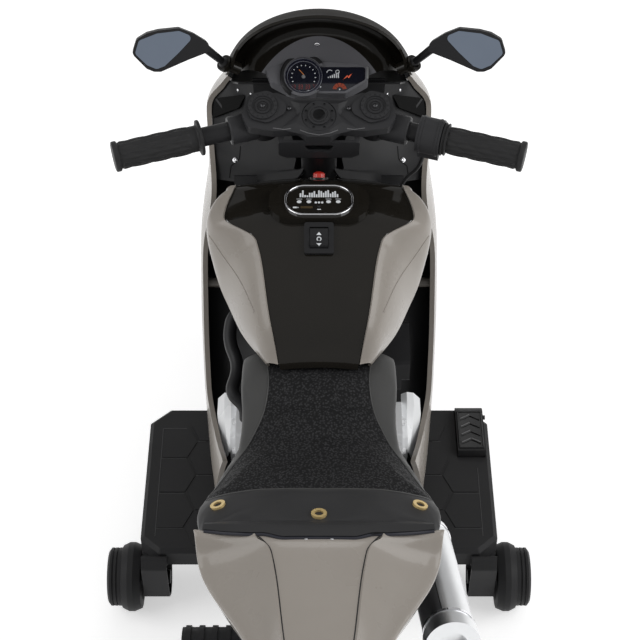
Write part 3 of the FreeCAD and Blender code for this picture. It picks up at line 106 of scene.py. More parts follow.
class MOTORBIKE_PG_finish(bpy.types.PropertyGroup):
    """Colours of the finishes"""

    paint: bpy.props.FloatVectorProperty(
        name="Paint", description="Taupe body paint", subtype="COLOR", size=3, default=(0.31, 0.281, 0.250))
    gloss: bpy.props.FloatVectorProperty(
        name="Gloss black", description="Tank centre and screen", subtype="COLOR", size=3,
        default=(0.013, 0.0114, 0.0091))
    plastic: bpy.props.FloatVectorProperty(
        name="Satin black", description="Moulded black parts", subtype="COLOR", size=3, default=(0.017, 0.017, 0.0183))
    board: bpy.props.FloatVectorProperty(
        name="Board black", description="Footboards and stabilisers", subtype="COLOR", size=3,
        default=(0.025, 0.025, 0.026))
    # The hood grey is lightened against the shade under the screen: painted light
    hood: bpy.props.FloatVectorProperty(
        name="Hood grey", description="Dashboard hood", subtype="COLOR", size=3, default=(0.165, 0.165, 0.178))
    rubber: bpy.props.FloatVectorProperty(
        name="Rubber", description="Grips and tyres", subtype="COLOR", size=3, default=(0.024, 0.024, 0.0247))
    seat: bpy.props.FloatVectorProperty(
        name="Seat cover", description="Grained seat cover", subtype="COLOR", size=3, default=(0.0100, 0.0100, 0.0105))
    flap: bpy.props.FloatVectorProperty(
        name="Seat flap", description="Smooth rear flap of the seat", subtype="COLOR", size=3,
        default=(0.033, 0.033, 0.034))
    seat_side: bpy.props.FloatVectorProperty(
        name="Seat sides", description="Smooth sides of the seat", subtype="COLOR", size=3,
        default=(0.066, 0.066, 0.065))
    silver: bpy.props.FloatVectorProperty(
        name="Silver", description="Silver coated parts", subtype="COLOR", size=3, default=(0.80, 0.81, 0.82))
    brass: bpy.props.FloatVectorProperty(
        name="Brass", description="Seat eyelets", subtype="COLOR", size=3, default=(0.88, 0.66, 0.30))


class MOTORBIKE_PG_size(bpy.types.PropertyGroup):
    """Sizes of the fine forms"""

    rib: bpy.props.FloatProperty(
        name="Grip ribs", description="Height of the ribs on the grips", unit="LENGTH", default=1.1 * MM)
    swell: bpy.props.FloatProperty(
        name="Seat swell", description="Most that the seat cover swells", unit="LENGTH", default=4.0 * MM)
    voxel: bpy.props.FloatProperty(
        name="Seat mesh", description="Edge of the seat cover's mesh", unit="LENGTH", default=5.0 * MM)
    floor: bpy.props.FloatProperty(
        name="Floor", description="Radius of the floor", unit="LENGTH", default=9.0)


def finish_props():
    return bpy.context.scene.motorbike_finish


def size_props():
    return bpy.context.scene.motorbike_size


# Meshes

# Thickness of liners and shields
LINER = 2.0 * MM

# Height in millimetres, over the whole motorbike, from which points drop
HIGH = 700.0
DOWN = (0, 0, -1)


def capped(points):
    """A closed shape from rows of points: each row is a closed loop, and the first and last are filled."""
    rows, around = points.shape[:2]
    a, b = np.meshgrid(np.arange(rows - 1) * around, np.arange(around), indexing="ij")
    d = (b + 1) % around
    quads = np.stack([a + b, a + around + b, a + around + d, a + d], -1).reshape(-1, 4)
    last = (rows - 1) * around
    return points.reshape(-1, 3), quads.tolist() + [list(range(around)), list(range(last, last + around))]


def turns(count):
    """Angles of a whole turn in equal steps."""
    return np.linspace(0, 2 * np.pi, count, endpoint=False)


def eased(t):
    """A share from 0 to 1 that starts and ends level."""
    return t ** 2 * (3 - 2 * t)


def above(x, y):
    """Points high over the motorbike, from x and y in millimetres."""
    x, y = np.broadcast_arrays(np.asarray(x, float), y)
    return np.stack([x, y, np.full(x.shape, HIGH)], -1).reshape(-1, 3) * MM


def mirrored(pixels):
    """Pixels mirrored to the other half of the picture."""
    return [(2 * CENTRE_PIXEL[0] - px, py) for px, py in pixels]


def joined(shapes):
    """Several shapes as one."""
    verts, faces, start = [], [], 0
    for v, f in shapes:
        verts.append(np.asarray(v, float).reshape(-1, 3))
        faces.extend([[i + start for i in face] for face in f])
        start += len(verts[-1])
    return np.concatenate(verts), faces


def both_sides(shape):
    """A shape and its mirror image on the other side of the motorbike."""
    v, f = shape
    return joined([shape, (v * np.array([-1.0, 1.0, 1.0]), [face[::-1] for face in f])])


def framed(points, origin, axes):
    """Local points in a frame: the origin plus each coordinate along its axis."""
    return np.asarray(origin) + np.asarray(points, float) @ np.asarray(axes)


def steer_place(points):
    """Points of the steering frame, in millimetres, in the motorbike's frame."""
    return framed(np.asarray(points, float) * MM, PIVOT, [STEER_X, STEER_Y, STEER_Z])


def facing(normal, up=(0.0, 1.0, 0.0)):
    """Axes whose third is the normal and whose second leans to up."""
    z = unit(normal)
    x = unit(np.cross(np.asarray(up, float), z))
    return np.array([x, np.cross(z, x), z])


def tube(path, radius, sides=14):
    """A circle of the given radius carried square along a path, with flat ends."""
    path = np.asarray(path, float)
    radius = np.broadcast_to(np.asarray(radius, float), len(path))
    along = unit(np.gradient(path, axis=0))
    side = np.eye(3)[np.argmin(np.abs(along).mean(0))]
    n1 = unit(side - (along @ side)[:, None] * along)
    n2 = np.cross(along, n1)
    a = turns(sides)
    ring = np.cos(a)[None, :, None] * n1[:, None] + np.sin(a)[None, :, None] * n2[:, None]
    return capped(path[:, None] + radius[:, None, None] * ring)


def lathe(profile, origin, axis, sides=40):
    """A profile of (distance along the axis, radius) turned about the axis."""
    profile = np.asarray(profile, float)
    z = unit(axis)
    helper = np.eye(3)[np.argmin(np.abs(z))]
    x = unit(np.cross(helper, z))
    y = np.cross(z, x)
    a = turns(sides)
    ring = np.cos(a)[:, None] * x + np.sin(a)[:, None] * y
    return capped(np.asarray(origin) + profile[:, :1, None] * z + profile[:, 1:, None] * ring[None])


def rounded(points, radius, steps=5):
    """A closed outline with an arc of the radius at each corner."""
    p = np.asarray(points, float)
    before, after = unit(np.roll(p, 1, 0) - p), unit(np.roll(p, -1, 0) - p)
    half = np.arccos(np.clip((before * after).sum(-1), -1, 1)) / 2
    lengths = np.minimum(*(np.linalg.norm(np.roll(p, k, 0) - p, axis=1) for k in (1, -1)))
    cut = np.minimum(radius / np.tan(half), 0.45 * lengths)
    t = np.linspace(0, 1, steps)[None, :, None]
    a, b = p + before * cut[:, None], p + after * cut[:, None]
    arc = (1 - t) ** 2 * a[:, None] + 2 * t * (1 - t) * p[:, None] + t ** 2 * b[:, None]
    return arc.reshape(-1, 2)


def inset(outline, distance):
    """An outline moved inwards by a distance, corner by corner."""
    p = np.asarray(outline, float)
    area = np.sum(p[:, 0] * np.roll(p[:, 1], -1) - np.roll(p[:, 0], -1) * p[:, 1])
    edge = unit(np.roll(p, -1, 0) - p + 1e-12)
    normal = np.stack([-edge[:, 1], edge[:, 0]], -1) * np.sign(area)
    mitre = unit(normal + np.roll(normal, 1, 0))
    share = np.clip((mitre * normal).sum(-1), 0.3, 1)
    return p + mitre * (distance / share)[:, None]


def plate(outline, low, high, bevel, origin, axes):
    """An outline given a thickness, with a bevel round its upper edge."""
    rings = [(outline, low), (outline, high - bevel), (inset(outline, bevel), high)]
    local = np.stack([np.column_stack([ring, np.full(len(ring), z)]) for ring, z in rings])
    return capped(framed(local, origin, axes))


def slab(grid, thickness):
    """A sheet of rows of points given a thickness against its normals, closed all round."""
    grid = np.asarray(grid, float)
    normal = unit(np.cross(np.gradient(grid, axis=1), np.gradient(grid, axis=0)))
    return capped(np.concatenate([grid, (grid - normal * thickness)[:, ::-1]], 1))


def sheet_rows(stations, count):
    """Straight rows of points across the motorbike, one for each station of (y, z, half width) in millimetres."""
    s = np.array(stations, float)
    k = np.linspace(-1, 1, count)
    return np.stack([s[:, 2:3] * k, s[:, 0:1] + 0 * k, s[:, 1:2] + 0 * k], -1) * MM


def ribbon(path, normals, width, height):
    """A raised line along a path: a low trapezium carried along it, standing on the normals."""
    path, normals = np.asarray(path, float), np.broadcast_to(unit(normals), np.shape(path))
    along = unit(np.gradient(path, axis=0))
    side = unit(np.cross(along, normals))
    section = np.array([(-0.5, -0.4), (-0.34, 1.0), (0.34, 1.0), (0.5, -0.4)]) * (width, height)
    return capped(path[:, None] + section[None, :, :1] * side[:, None] + section[None, :, 1:] * normals[:, None])


def dense(points, step):
    """A path of straight runs with points about a step apart."""
    p = np.asarray(points, float)
    run = np.concatenate([[0], np.cumsum(np.linalg.norm(np.diff(p, axis=0), axis=1))])
    s = np.linspace(0, run[-1], max(3, int(run[-1] / step) + 1))
    return np.column_stack([np.interp(s, run, p[:, k]) for k in range(p.shape[1])])


def smooth_path(points, count):
    """A smooth path near four or more points: quadratic pieces that meet halfway between them, from the first point
    to the last."""
    p = np.asarray(points, float)
    mid = (p[:-1] + p[1:]) / 2
    starts = np.concatenate([p[:1], mid[1:]])
    ends = np.concatenate([mid[1:], p[-1:]])
    t = np.linspace(0, 1, max(3, count // len(starts)))[None, :, None]
    a, b, c = starts[:, None], p[1:1 + len(starts), None], ends[:, None]
    curve = (1 - t) ** 2 * a + 2 * t * (1 - t) * b + t ** 2 * c
    out = curve[:, :-1].reshape(-1, p.shape[1])
    return np.concatenate([out, p[-1:]])


def hermite(x, stations, column):
    """A monotone curve through the stations, as the body's sections use it."""
    s = np.array(sorted(stations), float)
    xs, ys = s[:, 0], s[:, column]
    rise = np.diff(ys) / np.diff(xs)
    product = rise[:-1] * rise[1:]
    total = np.where(np.abs(rise[:-1] + rise[1:]) < 1e-12, 1.0, rise[:-1] + rise[1:])
    inner = np.where(product <= 0, 0.0, 2 * product / total)
    slope = np.concatenate([rise[:1], inner, rise[-1:]])
    x = np.clip(x, xs[0], xs[-1])
    k = np.clip(np.searchsorted(xs, x, side="right") - 1, 0, len(xs) - 2)
    h = xs[k + 1] - xs[k]
    t = (x - xs[k]) / h
    return ((2 * t ** 3 - 3 * t ** 2 + 1) * ys[k] + (t ** 3 - 2 * t ** 2 + t) * h * slope[k]
            + (3 * t ** 2 - 2 * t ** 3) * ys[k + 1] + (t ** 3 - t ** 2) * h * slope[k + 1])


def points_of(mesh):
    """The points of a mesh, as rows."""
    co = np.empty(len(mesh.vertices) * 3)
    mesh.vertices.foreach_get("co", co)
    return co.reshape(-1, 3)


def triangles(mesh):
    """The triangles of a mesh, as corner points."""
    mesh.calc_loop_triangles()
    corners = np.empty(len(mesh.loop_triangles) * 3, np.int64)
    mesh.loop_triangles.foreach_get("vertices", corners)
    return points_of(mesh)[corners.reshape(-1, 3)]


def evaluated(piece):
    """A piece with its modifiers applied."""
    return piece.evaluated_get(bpy.context.evaluated_depsgraph_get())


def surface_of(node):
    """The mesh of a part."""
    return frame["nodes"][node].data


def settle(mesh, points, direction):
    """Slides points along a direction to the first surface of a mesh. Returns the points and the surface normals.
    A point meets a triangle where its barycentric weights, seen along the direction, are all positive.
    Where a point meets nothing, its depth is NaN."""
    points = np.atleast_2d(np.asarray(points, float))
    d = unit(direction)
    e1 = unit(np.cross(np.eye(3)[np.argmin(np.abs(d))], d))
    flat = np.stack([e1, np.cross(d, e1)], -1)
    p2 = points @ flat
    tri = triangles(mesh)
    t2 = tri @ flat
    near = np.all(t2.max(1) >= p2.min(0) - 1e-6, -1) & np.all(t2.min(1) <= p2.max(0) + 1e-6, -1)
    tri, t2 = tri[near], t2[near]
    a, b, c = t2[:, 0], t2[:, 1], t2[:, 2]
    area = (b[:, 0] - a[:, 0]) * (c[:, 1] - a[:, 1]) - (c[:, 0] - a[:, 0]) * (b[:, 1] - a[:, 1])
    keep = np.abs(area) > 1e-14
    tri, a, b, c, area = tri[keep], a[keep], b[keep], c[keep], area[keep]
    found = np.full(len(points), np.nan)
    normals = np.tile(-d, (len(points), 1))
    if len(tri) == 0:
        return points * np.nan, normals
    depth = tri @ d
    normal = unit(np.cross(tri[:, 1] - tri[:, 0], tri[:, 2] - tri[:, 0]))
    normal = normal * -np.sign(normal @ d)[:, None]
    for start in range(0, len(points), 256):
        q = p2[start:start + 256, None]
        wb = ((q[..., 0] - a[:, 0]) * (c[:, 1] - a[:, 1]) - (c[:, 0] - a[:, 0]) * (q[..., 1] - a[:, 1])) / area
        wc = ((b[:, 0] - a[:, 0]) * (q[..., 1] - a[:, 1]) - (q[..., 0] - a[:, 0]) * (b[:, 1] - a[:, 1])) / area
        wa = 1 - wb - wc
        at = wa * depth[:, 0] + wb * depth[:, 1] + wc * depth[:, 2]
        at = np.where((wa > -1e-5) & (wb > -1e-5) & (wc > -1e-5), at, np.inf)
        first = at.argmin(1)
        value = at[np.arange(len(first)), first]
        hit = np.isfinite(value)
        found[start:start + 256][hit] = value[hit]
        normals[start:start + 256][hit] = normal[first[hit]]
    return points + (found - points @ d)[:, None] * d, normals


def laid(mesh, points):
    """Points dropped on a mesh, without those that miss it."""
    at = settle(mesh, points, DOWN)[0]
    hit = np.isfinite(at[:, 0])
    if hit.sum() < 2:
        raise ValueError("a line misses its surface")
    return at[hit]


def pixel_ray(px, py):
    """The direction in which the camera sees a pixel."""
    right = (px - CENTRE_PIXEL[0]) / FOCAL_PIXELS
    up = (CENTRE_PIXEL[1] - py) / FOCAL_PIXELS
    return unit(-CAM_BACK + right * np.array([1.0, 0.0, 0.0]) + up * CAM_UP)


def at_pixel(nodes, px, py):
    """The nearest point of some parts that the camera sees at a pixel, and the surface normal there."""
    found = [settle(surface_of(node), [CAM_AT], pixel_ray(px, py)) for node in nodes]
    found = [(point[0], normal[0]) for point, normal in found if np.isfinite(point[0, 0])]
    if not found:
        raise ValueError("nothing of %s at pixel %s, %s" % (nodes, px, py))
    return min(found, key=lambda hit: np.linalg.norm(hit[0] - CAM_AT))


def seen_path(nodes, pixels, step=1.5):
    """The points, and the mean normal, of some parts that the camera sees along a line of pixels."""
    hits = [at_pixel(nodes, px, py) for px, py in dense(pixels, step)]
    return np.array([h[0] for h in hits]), unit(np.mean([h[1] for h in hits], 0))


def lines_on(nodes, lines, width, height):
    """Raised lines on some parts, along lines of pixels, with their width and height in millimetres."""
    return joined([ribbon(*seen_path(nodes, line), width * MM, height * MM) for line in lines])


def put(name, shape, look, body, smooth=35.0):
    """A shape as a piece of the motorbike with the finish named look, riding on a body, with its normals outwards."""
    verts, faces = shape
    mesh = bpy.data.meshes.new(name)
    mesh.from_pydata(np.asarray(verts).tolist(), [], faces)
    work = bmesh.new()
    work.from_mesh(mesh)
    bmesh.ops.remove_doubles(work, verts=work.verts, dist=1e-7)
    bmesh.ops.recalc_face_normals(work, faces=work.faces)
    work.to_mesh(mesh)
    work.free()
    mesh.materials.append(finish(look))
    mesh.shade_smooth()
    mesh.set_sharp_from_angle(angle=math.radians(smooth))
    piece = bpy.data.objects.new(name, mesh)
    bpy.context.scene.collection.objects.link(piece)
    if body:
        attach(piece, body)
    return piece


# Marks, screws and rings, in millimetres

def bar_mark(x, y, w, h):
    return np.array([(x - w / 2, y - h / 2), (x + w / 2, y - h / 2), (x + w / 2, y + h / 2), (x - w / 2, y + h / 2)])


def disc_mark(x, y, a, b, count=20):
    t = turns(count)
    return np.column_stack([x + a * np.cos(t), y + b * np.sin(t)])


def arc_mark(x, y, inner, outer, start, end, count=18):
    t = np.radians(np.linspace(start, end, count))
    ring = np.column_stack([np.cos(t), np.sin(t)])
    return np.concatenate([outer * ring, inner * ring[::-1]]) + (x, y)


def line_mark(x0, y0, x1, y1, w):
    a, b = np.array([x0, y0], float), np.array([x1, y1], float)
    n = np.array([a[1] - b[1], b[0] - a[0]]) / np.linalg.norm(b - a) * w / 2
    return np.array([a - n, b - n, b + n, a + n])


def marks(outlines, origin, axes, height=0.25, sink=0.3):
    """Flat marks: each outline given a small thickness on a local plane."""
    return joined([plate(np.asarray(o) * MM, -sink * MM, height * MM, 0.05 * MM, origin, axes) for o in outlines])


def screw(at, normal, r):
    """A screw: a domed head with a round recess, turned about its axis."""
    profile = r * MM * np.array([(-0.4, 1.0), (0.15, 1.0), (0.40, 0.88), (0.54, 0.66), (0.58, 0.40), (0.30, 0.30),
                                 (0.26, 0.02)])
    return lathe(profile, at, normal, 20)


def hoop(r, width, height, origin, axis):
    """A raised ring of a radius about an axis, with sloped sides."""
    w = width / 2
    profile = np.array([(-0.4, r - w), (height * 0.6, r - w), (height, r - 0.5 * w), (height, r + 0.5 * w),
                        (height * 0.6, r + w), (-0.4, r + w)])
    return lathe(profile * MM, origin, axis, 48)


# Finishes

FLOAT, COLOUR = "NodeSocketFloat", "NodeSocketColor"


class Graph:
    """A node tree built up by calls: each adds a node, sets or joins its inputs, and returns an output."""

    def __init__(self, tree):
        self.tree = tree

    def fill(self, node, inputs):
        """Joins the sockets among some inputs of a node and sets the others."""
        for key, value in inputs.items():
            if isinstance(value, bpy.types.NodeSocket):
                self.tree.links.new(value, node.inputs[key])
            else:
                node.inputs[key].default_value = value

    def add(self, kind, inputs=None, output=0, **settings):
        node = self.tree.nodes.new(kind)
        for key, value in settings.items():
            setattr(node, key, value)
        self.fill(node, inputs or {})
        return node.outputs[output]

    def group(self, tree, **values):
        """All outputs of a node group whose inputs are set by name."""
        node = self.add("ShaderNodeGroup", node_tree=tree).node
        self.fill(node, {key.replace("_", " "): value for key, value in values.items()})
        return node.outputs

    def math(self, operation, *terms):
        return self.add("ShaderNodeMath", dict(enumerate(terms)), operation=operation)

    def ramp(self, value, start, end, low=0.0, high=1.0, curve="SMOOTHSTEP"):
        """A value carried from the range start to end into the range low to high."""
        ends = {"Value": value, "From Min": start, "From Max": end, "To Min": low, "To Max": high}
        return self.add("ShaderNodeMapRange", ends, interpolation_type=curve)

    def mix(self, share, first, second):
        """A mix of two colours."""
        return self.add("ShaderNodeMix", {"Factor": share, 6: first, 7: second}, 2, data_type="RGBA")

    def mean(self, share, first, second):
        """A mix of two values."""
        return self.add("ShaderNodeMix", {"Factor": share, 2: first, 3: second}, data_type="FLOAT")

    def spot(self):
        """The place on the object."""
        return self.add("ShaderNodeTexCoord", output="Object")

    def normal(self):
        """The three coordinates of the surface normal."""
        return self.parts(self.add("ShaderNodeNewGeometry", output="Normal"))

    def parts(self, vector):
        """The three coordinates of a vector."""
        return self.add("ShaderNodeSeparateXYZ", {0: vector}).node.outputs

    def along(self, axis):
        """How far the place on the object lies along an axis."""
        return self.add("ShaderNodeVectorMath", {0: self.spot(), 1: tuple(axis)}, "Value", operation="DOT_PRODUCT")

    def bump(self, height, strength, distance=0.2 * MM):
        return self.add("ShaderNodeBump", {"Height": height, "Strength": strength, "Distance": distance}, "Normal")


def node_group(name, inputs, outputs, fill):
    """The node group of that name, made on first use: fill gives its outputs from a graph and the inputs' sockets."""
    if name in bpy.data.node_groups:
        return bpy.data.node_groups[name]
    tree = bpy.data.node_groups.new(name, "ShaderNodeTree")
    for label, value in inputs.items():
        kind = COLOUR if isinstance(value, tuple) else FLOAT
        tree.interface.new_socket(name=label, in_out="INPUT", socket_type=kind).default_value = value
    for label in outputs:
        kind = COLOUR if label == "Colour" else FLOAT
        tree.interface.new_socket(name=label, in_out="OUTPUT", socket_type=kind)
    given = tree.nodes.new("NodeGroupInput").outputs
    graph = Graph(tree)
    graph.fill(tree.nodes.new("NodeGroupOutput"), fill(graph, given))
    return tree


def moulded_group():
    """Moulded surface: slow noise varies colour and roughness, fast noise gives the grain's height."""
    def fill(g, given):
        slow = g.add("ShaderNodeTexNoise", {"Vector": g.spot(), "Scale": 14.0, "Detail": 4.0, "Roughness": 0.6})
        fast = g.add("ShaderNodeTexNoise", {"Vector": g.spot(), "Scale": given["Grain scale"], "Detail": 2.0})
        amount = g.math("MULTIPLY_ADD", g.math("SUBTRACT", slow, 0.5), given["Mottle"], 1.0)
        tint = g.add("ShaderNodeVectorMath", {0: given["Colour"], "Scale": amount}, operation="SCALE")
        rough = g.ramp(slow, 0.3, 0.7, given["Smooth"], given["Dull"], "LINEAR")
        return {"Colour": tint, "Roughness": rough, "Height": fast}
    inputs = {"Colour": (0.5, 0.5, 0.5, 1), "Grain scale": 900.0, "Mottle": 0.1, "Smooth": 0.3, "Dull": 0.5}
    return node_group("Moulded surface", inputs, ("Colour", "Roughness", "Height"), fill)


def brushed_group():
    """Brushed metal: noise drawn out along one axis varies the roughness and the height."""
    def fill(g, given):
        drawn = g.add("ShaderNodeMapping", {"Vector": g.spot(), "Scale": (1.0, 0.03, 1.0)})
        noise = g.add("ShaderNodeTexNoise", {"Vector": drawn, "Scale": given["Across"], "Detail": 3.0})
        return {"Roughness": g.ramp(noise, 0.3, 0.7, given["Smooth"], given["Dull"], "LINEAR"), "Height": noise}
    return node_group("Brushed metal", {"Across": 900.0, "Smooth": 0.2, "Dull": 0.4}, ("Roughness", "Height"), fill)


def grain_group():
    """Leather grain: rounded cells of a Voronoi pattern, smooth on their crests."""
    def fill(g, given):
        cells = {"Vector": g.spot(), "Scale": given["Cells"], "Smoothness": 0.4, "Randomness": 1.0}
        crest = g.ramp(g.add("ShaderNodeTexVoronoi", cells, "Distance", feature="SMOOTH_F1"), 0.65, 0.05)
        return {"Crest": crest, "Roughness": g.ramp(crest, 0.0, 1.0, given["Dull"], given["Smooth"], "LINEAR")}
    return node_group("Leather grain", {"Cells": 600.0, "Smooth": 0.35, "Dull": 0.6}, ("Crest", "Roughness"), fill)


def blank(name):
    """A new material, its graph and its shader."""
    material = bpy.data.materials.new(name)
    material.use_nodes = True
    tree = material.node_tree
    return material, Graph(tree), tree.nodes["Principled BSDF"]


def plain(colour):
    """An opaque colour, given as its values or as the name of a finish property."""
    return (*(getattr(finish_props(), colour) if isinstance(colour, str) else colour), 1.0)


def skin_of(g, colour, smooth, dull, grain, mottle):
    return g.group(moulded_group(), Colour=plain(colour), Smooth=smooth, Dull=dull, Grain_scale=grain, Mottle=mottle)


def moulded(name, colour, smooth, dull, grain=900.0, depth=0.05, mottle=0.25, coat=0.0, metallic=0.0, shine=0.5):
    """A moulded or painted finish from the shared moulded surface."""
    material, g, shader = blank(name)
    skin = skin_of(g, colour, smooth, dull, grain, mottle)
    g.fill(shader, {
        "Base Color": skin["Colour"], "Roughness": skin["Roughness"], "Coat Weight": coat, "Coat Roughness": 0.04,
        "Metallic": metallic, "Specular IOR Level": shine, "Normal": g.bump(skin["Height"], depth)})
    return material


def printed(name, colour, glow=0.0):
    """Printed or lit marks."""
    material = moulded(name, colour, 0.3, 0.45, 1500.0, 0.02, 0.3)
    tree = material.node_tree
    Graph(tree).fill(tree.nodes["Principled BSDF"], {"Emission Color": plain(colour), "Emission Strength": glow})
    return material


def metal(name, colour, smooth, dull, across=900.0, depth=0.04):
    """A bare metal finish from the shared brushed metal."""
    material, g, shader = blank(name)
    skin = g.group(brushed_group(), Across=across, Smooth=smooth, Dull=dull)
    tint = g.group(moulded_group(), Colour=plain(colour), Mottle=0.15)
    g.fill(shader, {"Base Color": tint["Colour"], "Roughness": skin["Roughness"], "Metallic": 1.0,
                    "Normal": g.bump(skin["Height"], depth, 0.1 * MM)})
    return material


# Crown of the dashboard hood's arch, in metres, and how fast it falls to the sides, per metre
HOOD_CROWN = 0.662
HOOD_FALL = 9.5

# Silencer: the ends and the direction of its axis, the way its fold faces, the colour of the painted shade on its inner
# half and its end cap's length
SILENCER_ENDS = np.array([(124.0, -130, 236), (140.0, -312, 306)]) * MM
SILENCER_DIR = unit(SILENCER_ENDS[1] - SILENCER_ENDS[0])
SILENCER_FOLD = unit(np.cross(SILENCER_DIR, np.cross([-0.11, -0.575, 0.816], SILENCER_DIR)))
SILENCER_SHADE_COLOUR = (0.34, 0.34, 0.35)
SILENCER_CAP = 8 * MM

# Black of the fairings' inside, lightened against the shade in the fairings: painted light
INSIDE_BLACK_PAINTED_LIGHT = (0.058, 0.058, 0.064)


def dash_finish(name):
    """Grey hood under an arch and polished black above it; the grey is lightened against the shade under the screen,
    which is painted light. The arch falls from its crown with the square of the distance from the middle."""
    material, g, shader = blank(name)
    skin = skin_of(g, "hood", 0.42, 0.55, 1500.0, 0.25)
    at = g.parts(g.spot())
    height = g.math("MULTIPLY_ADD", g.math("MULTIPLY", at["X"], at["X"]), HOOD_FALL, at["Z"])
    above = g.ramp(height, HOOD_CROWN - 0.5 * MM, HOOD_CROWN + 0.5 * MM)
    g.fill(shader, {
        "Base Color": g.mix(above, skin["Colour"], plain("gloss")), "Specular IOR Level": 0.25,
        "Roughness": g.mean(above, skin["Roughness"], 0.10), "Normal": g.bump(skin["Height"], 0.05)})
    return material


def screen_finish(name):
    """Black screen, polished on the side that faces the rider and satin on the outside."""
    material, g, shader = blank(name)
    skin = skin_of(g, "gloss", 0.45, 0.55, 1200.0, 0.3)
    g.fill(shader, {
        "Base Color": skin["Colour"], "Roughness": skin["Roughness"], "Coat Roughness": 0.05,
        "Coat Weight": g.ramp(g.normal()["Y"], 0.05, -0.05, 0.0, 0.5), "Specular IOR Level": 0.015})
    return material


def fairing_finish(name):
    """Paint on the outside of a side panel and bare black moulding inside, told apart by which way it faces. The inside
    black is lightened with painted light against the shade there.
    """
    material, g, shader = blank(name)
    outer = skin_of(g, "paint", 0.24, 0.32, 2600.0, 0.1)
    inner = skin_of(g, INSIDE_BLACK_PAINTED_LIGHT, 0.20, 0.34, 900.0, 0.3)
    outward = g.math("MULTIPLY", g.normal()["X"], g.math("SIGN", g.parts(g.spot())["X"]))
    share = g.ramp(outward, -0.42, -0.36)
    g.fill(shader, {
        "Base Color": g.mix(share, inner["Colour"], outer["Colour"]), "Coat Weight": g.math("MULTIPLY", share, 0.25),
        "Roughness": g.mean(share, inner["Roughness"], outer["Roughness"]), "Coat Roughness": 0.04,
        "Specular IOR Level": 0.2, "Normal": g.bump(outer["Height"], 0.02)})
    return material


def silencer_finish(name):
    """Silver whose inner half, across the plane of the axis and the fold, is darker up to the end cap: painted shade on
    the side that faces the motorbike.
    """
    material = metal(name, "silver", 0.30, 0.36, 220.0, 0.01)
    g, shader = Graph(material.node_tree), material.node_tree.nodes["Principled BSDF"]
    tint = shader.inputs["Base Color"].links[0].from_socket
    across = np.cross(SILENCER_FOLD, SILENCER_DIR)
    across *= np.sign(across[0])
    edge = float(across @ SILENCER_ENDS[0])
    outer = g.ramp(g.along(across), edge - 0.3 * MM, edge + 0.3 * MM, curve="LINEAR")
    cap = g.math("GREATER_THAN", g.along(SILENCER_DIR), float(SILENCER_DIR @ SILENCER_ENDS[1]) - SILENCER_CAP)
    # The inner half, short of the end cap, takes the painted shade colour
    g.fill(shader, {"Base Color": g.mix(g.math("MAXIMUM", outer, cap), plain(SILENCER_SHADE_COLOUR), tint)})
    return material


def seat_finish(name):
    """Grained cover inside the seam and smooth cover outside it, told apart by the piece's zone attribute, with the
    flap's own colour where its flap attribute says so."""
    material, g, shader = blank(name)
    zone, flap = (g.add("ShaderNodeAttribute", output="Fac", attribute_name=key) for key in ("zone", "flap"))
    share = g.ramp(zone, -0.05, 0.05)
    grain = g.group(grain_group(), Cells=400.0, Smooth=0.50, Dull=0.70)
    smooth = skin_of(g, "seat_side", 0.42, 0.52, 1500.0, 0.25)
    dark = g.group(moulded_group(), Colour=plain("seat"), Grain_scale=900.0, Mottle=0.4)
    cover = g.mix(flap, smooth["Colour"], plain("flap"))
    pale = plain(tuple(4.0 * c for c in finish_props().seat))
    g.fill(shader, {
        "Base Color": g.mix(share, cover, g.mix(grain["Crest"], dark["Colour"], pale)), "Specular IOR Level": 0.15,
        "Roughness": g.mean(share, smooth["Roughness"], grain["Roughness"]),
        "Normal": g.bump(g.mean(share, 0.5, grain["Crest"]), 0.55, 0.5 * MM)})
    return material


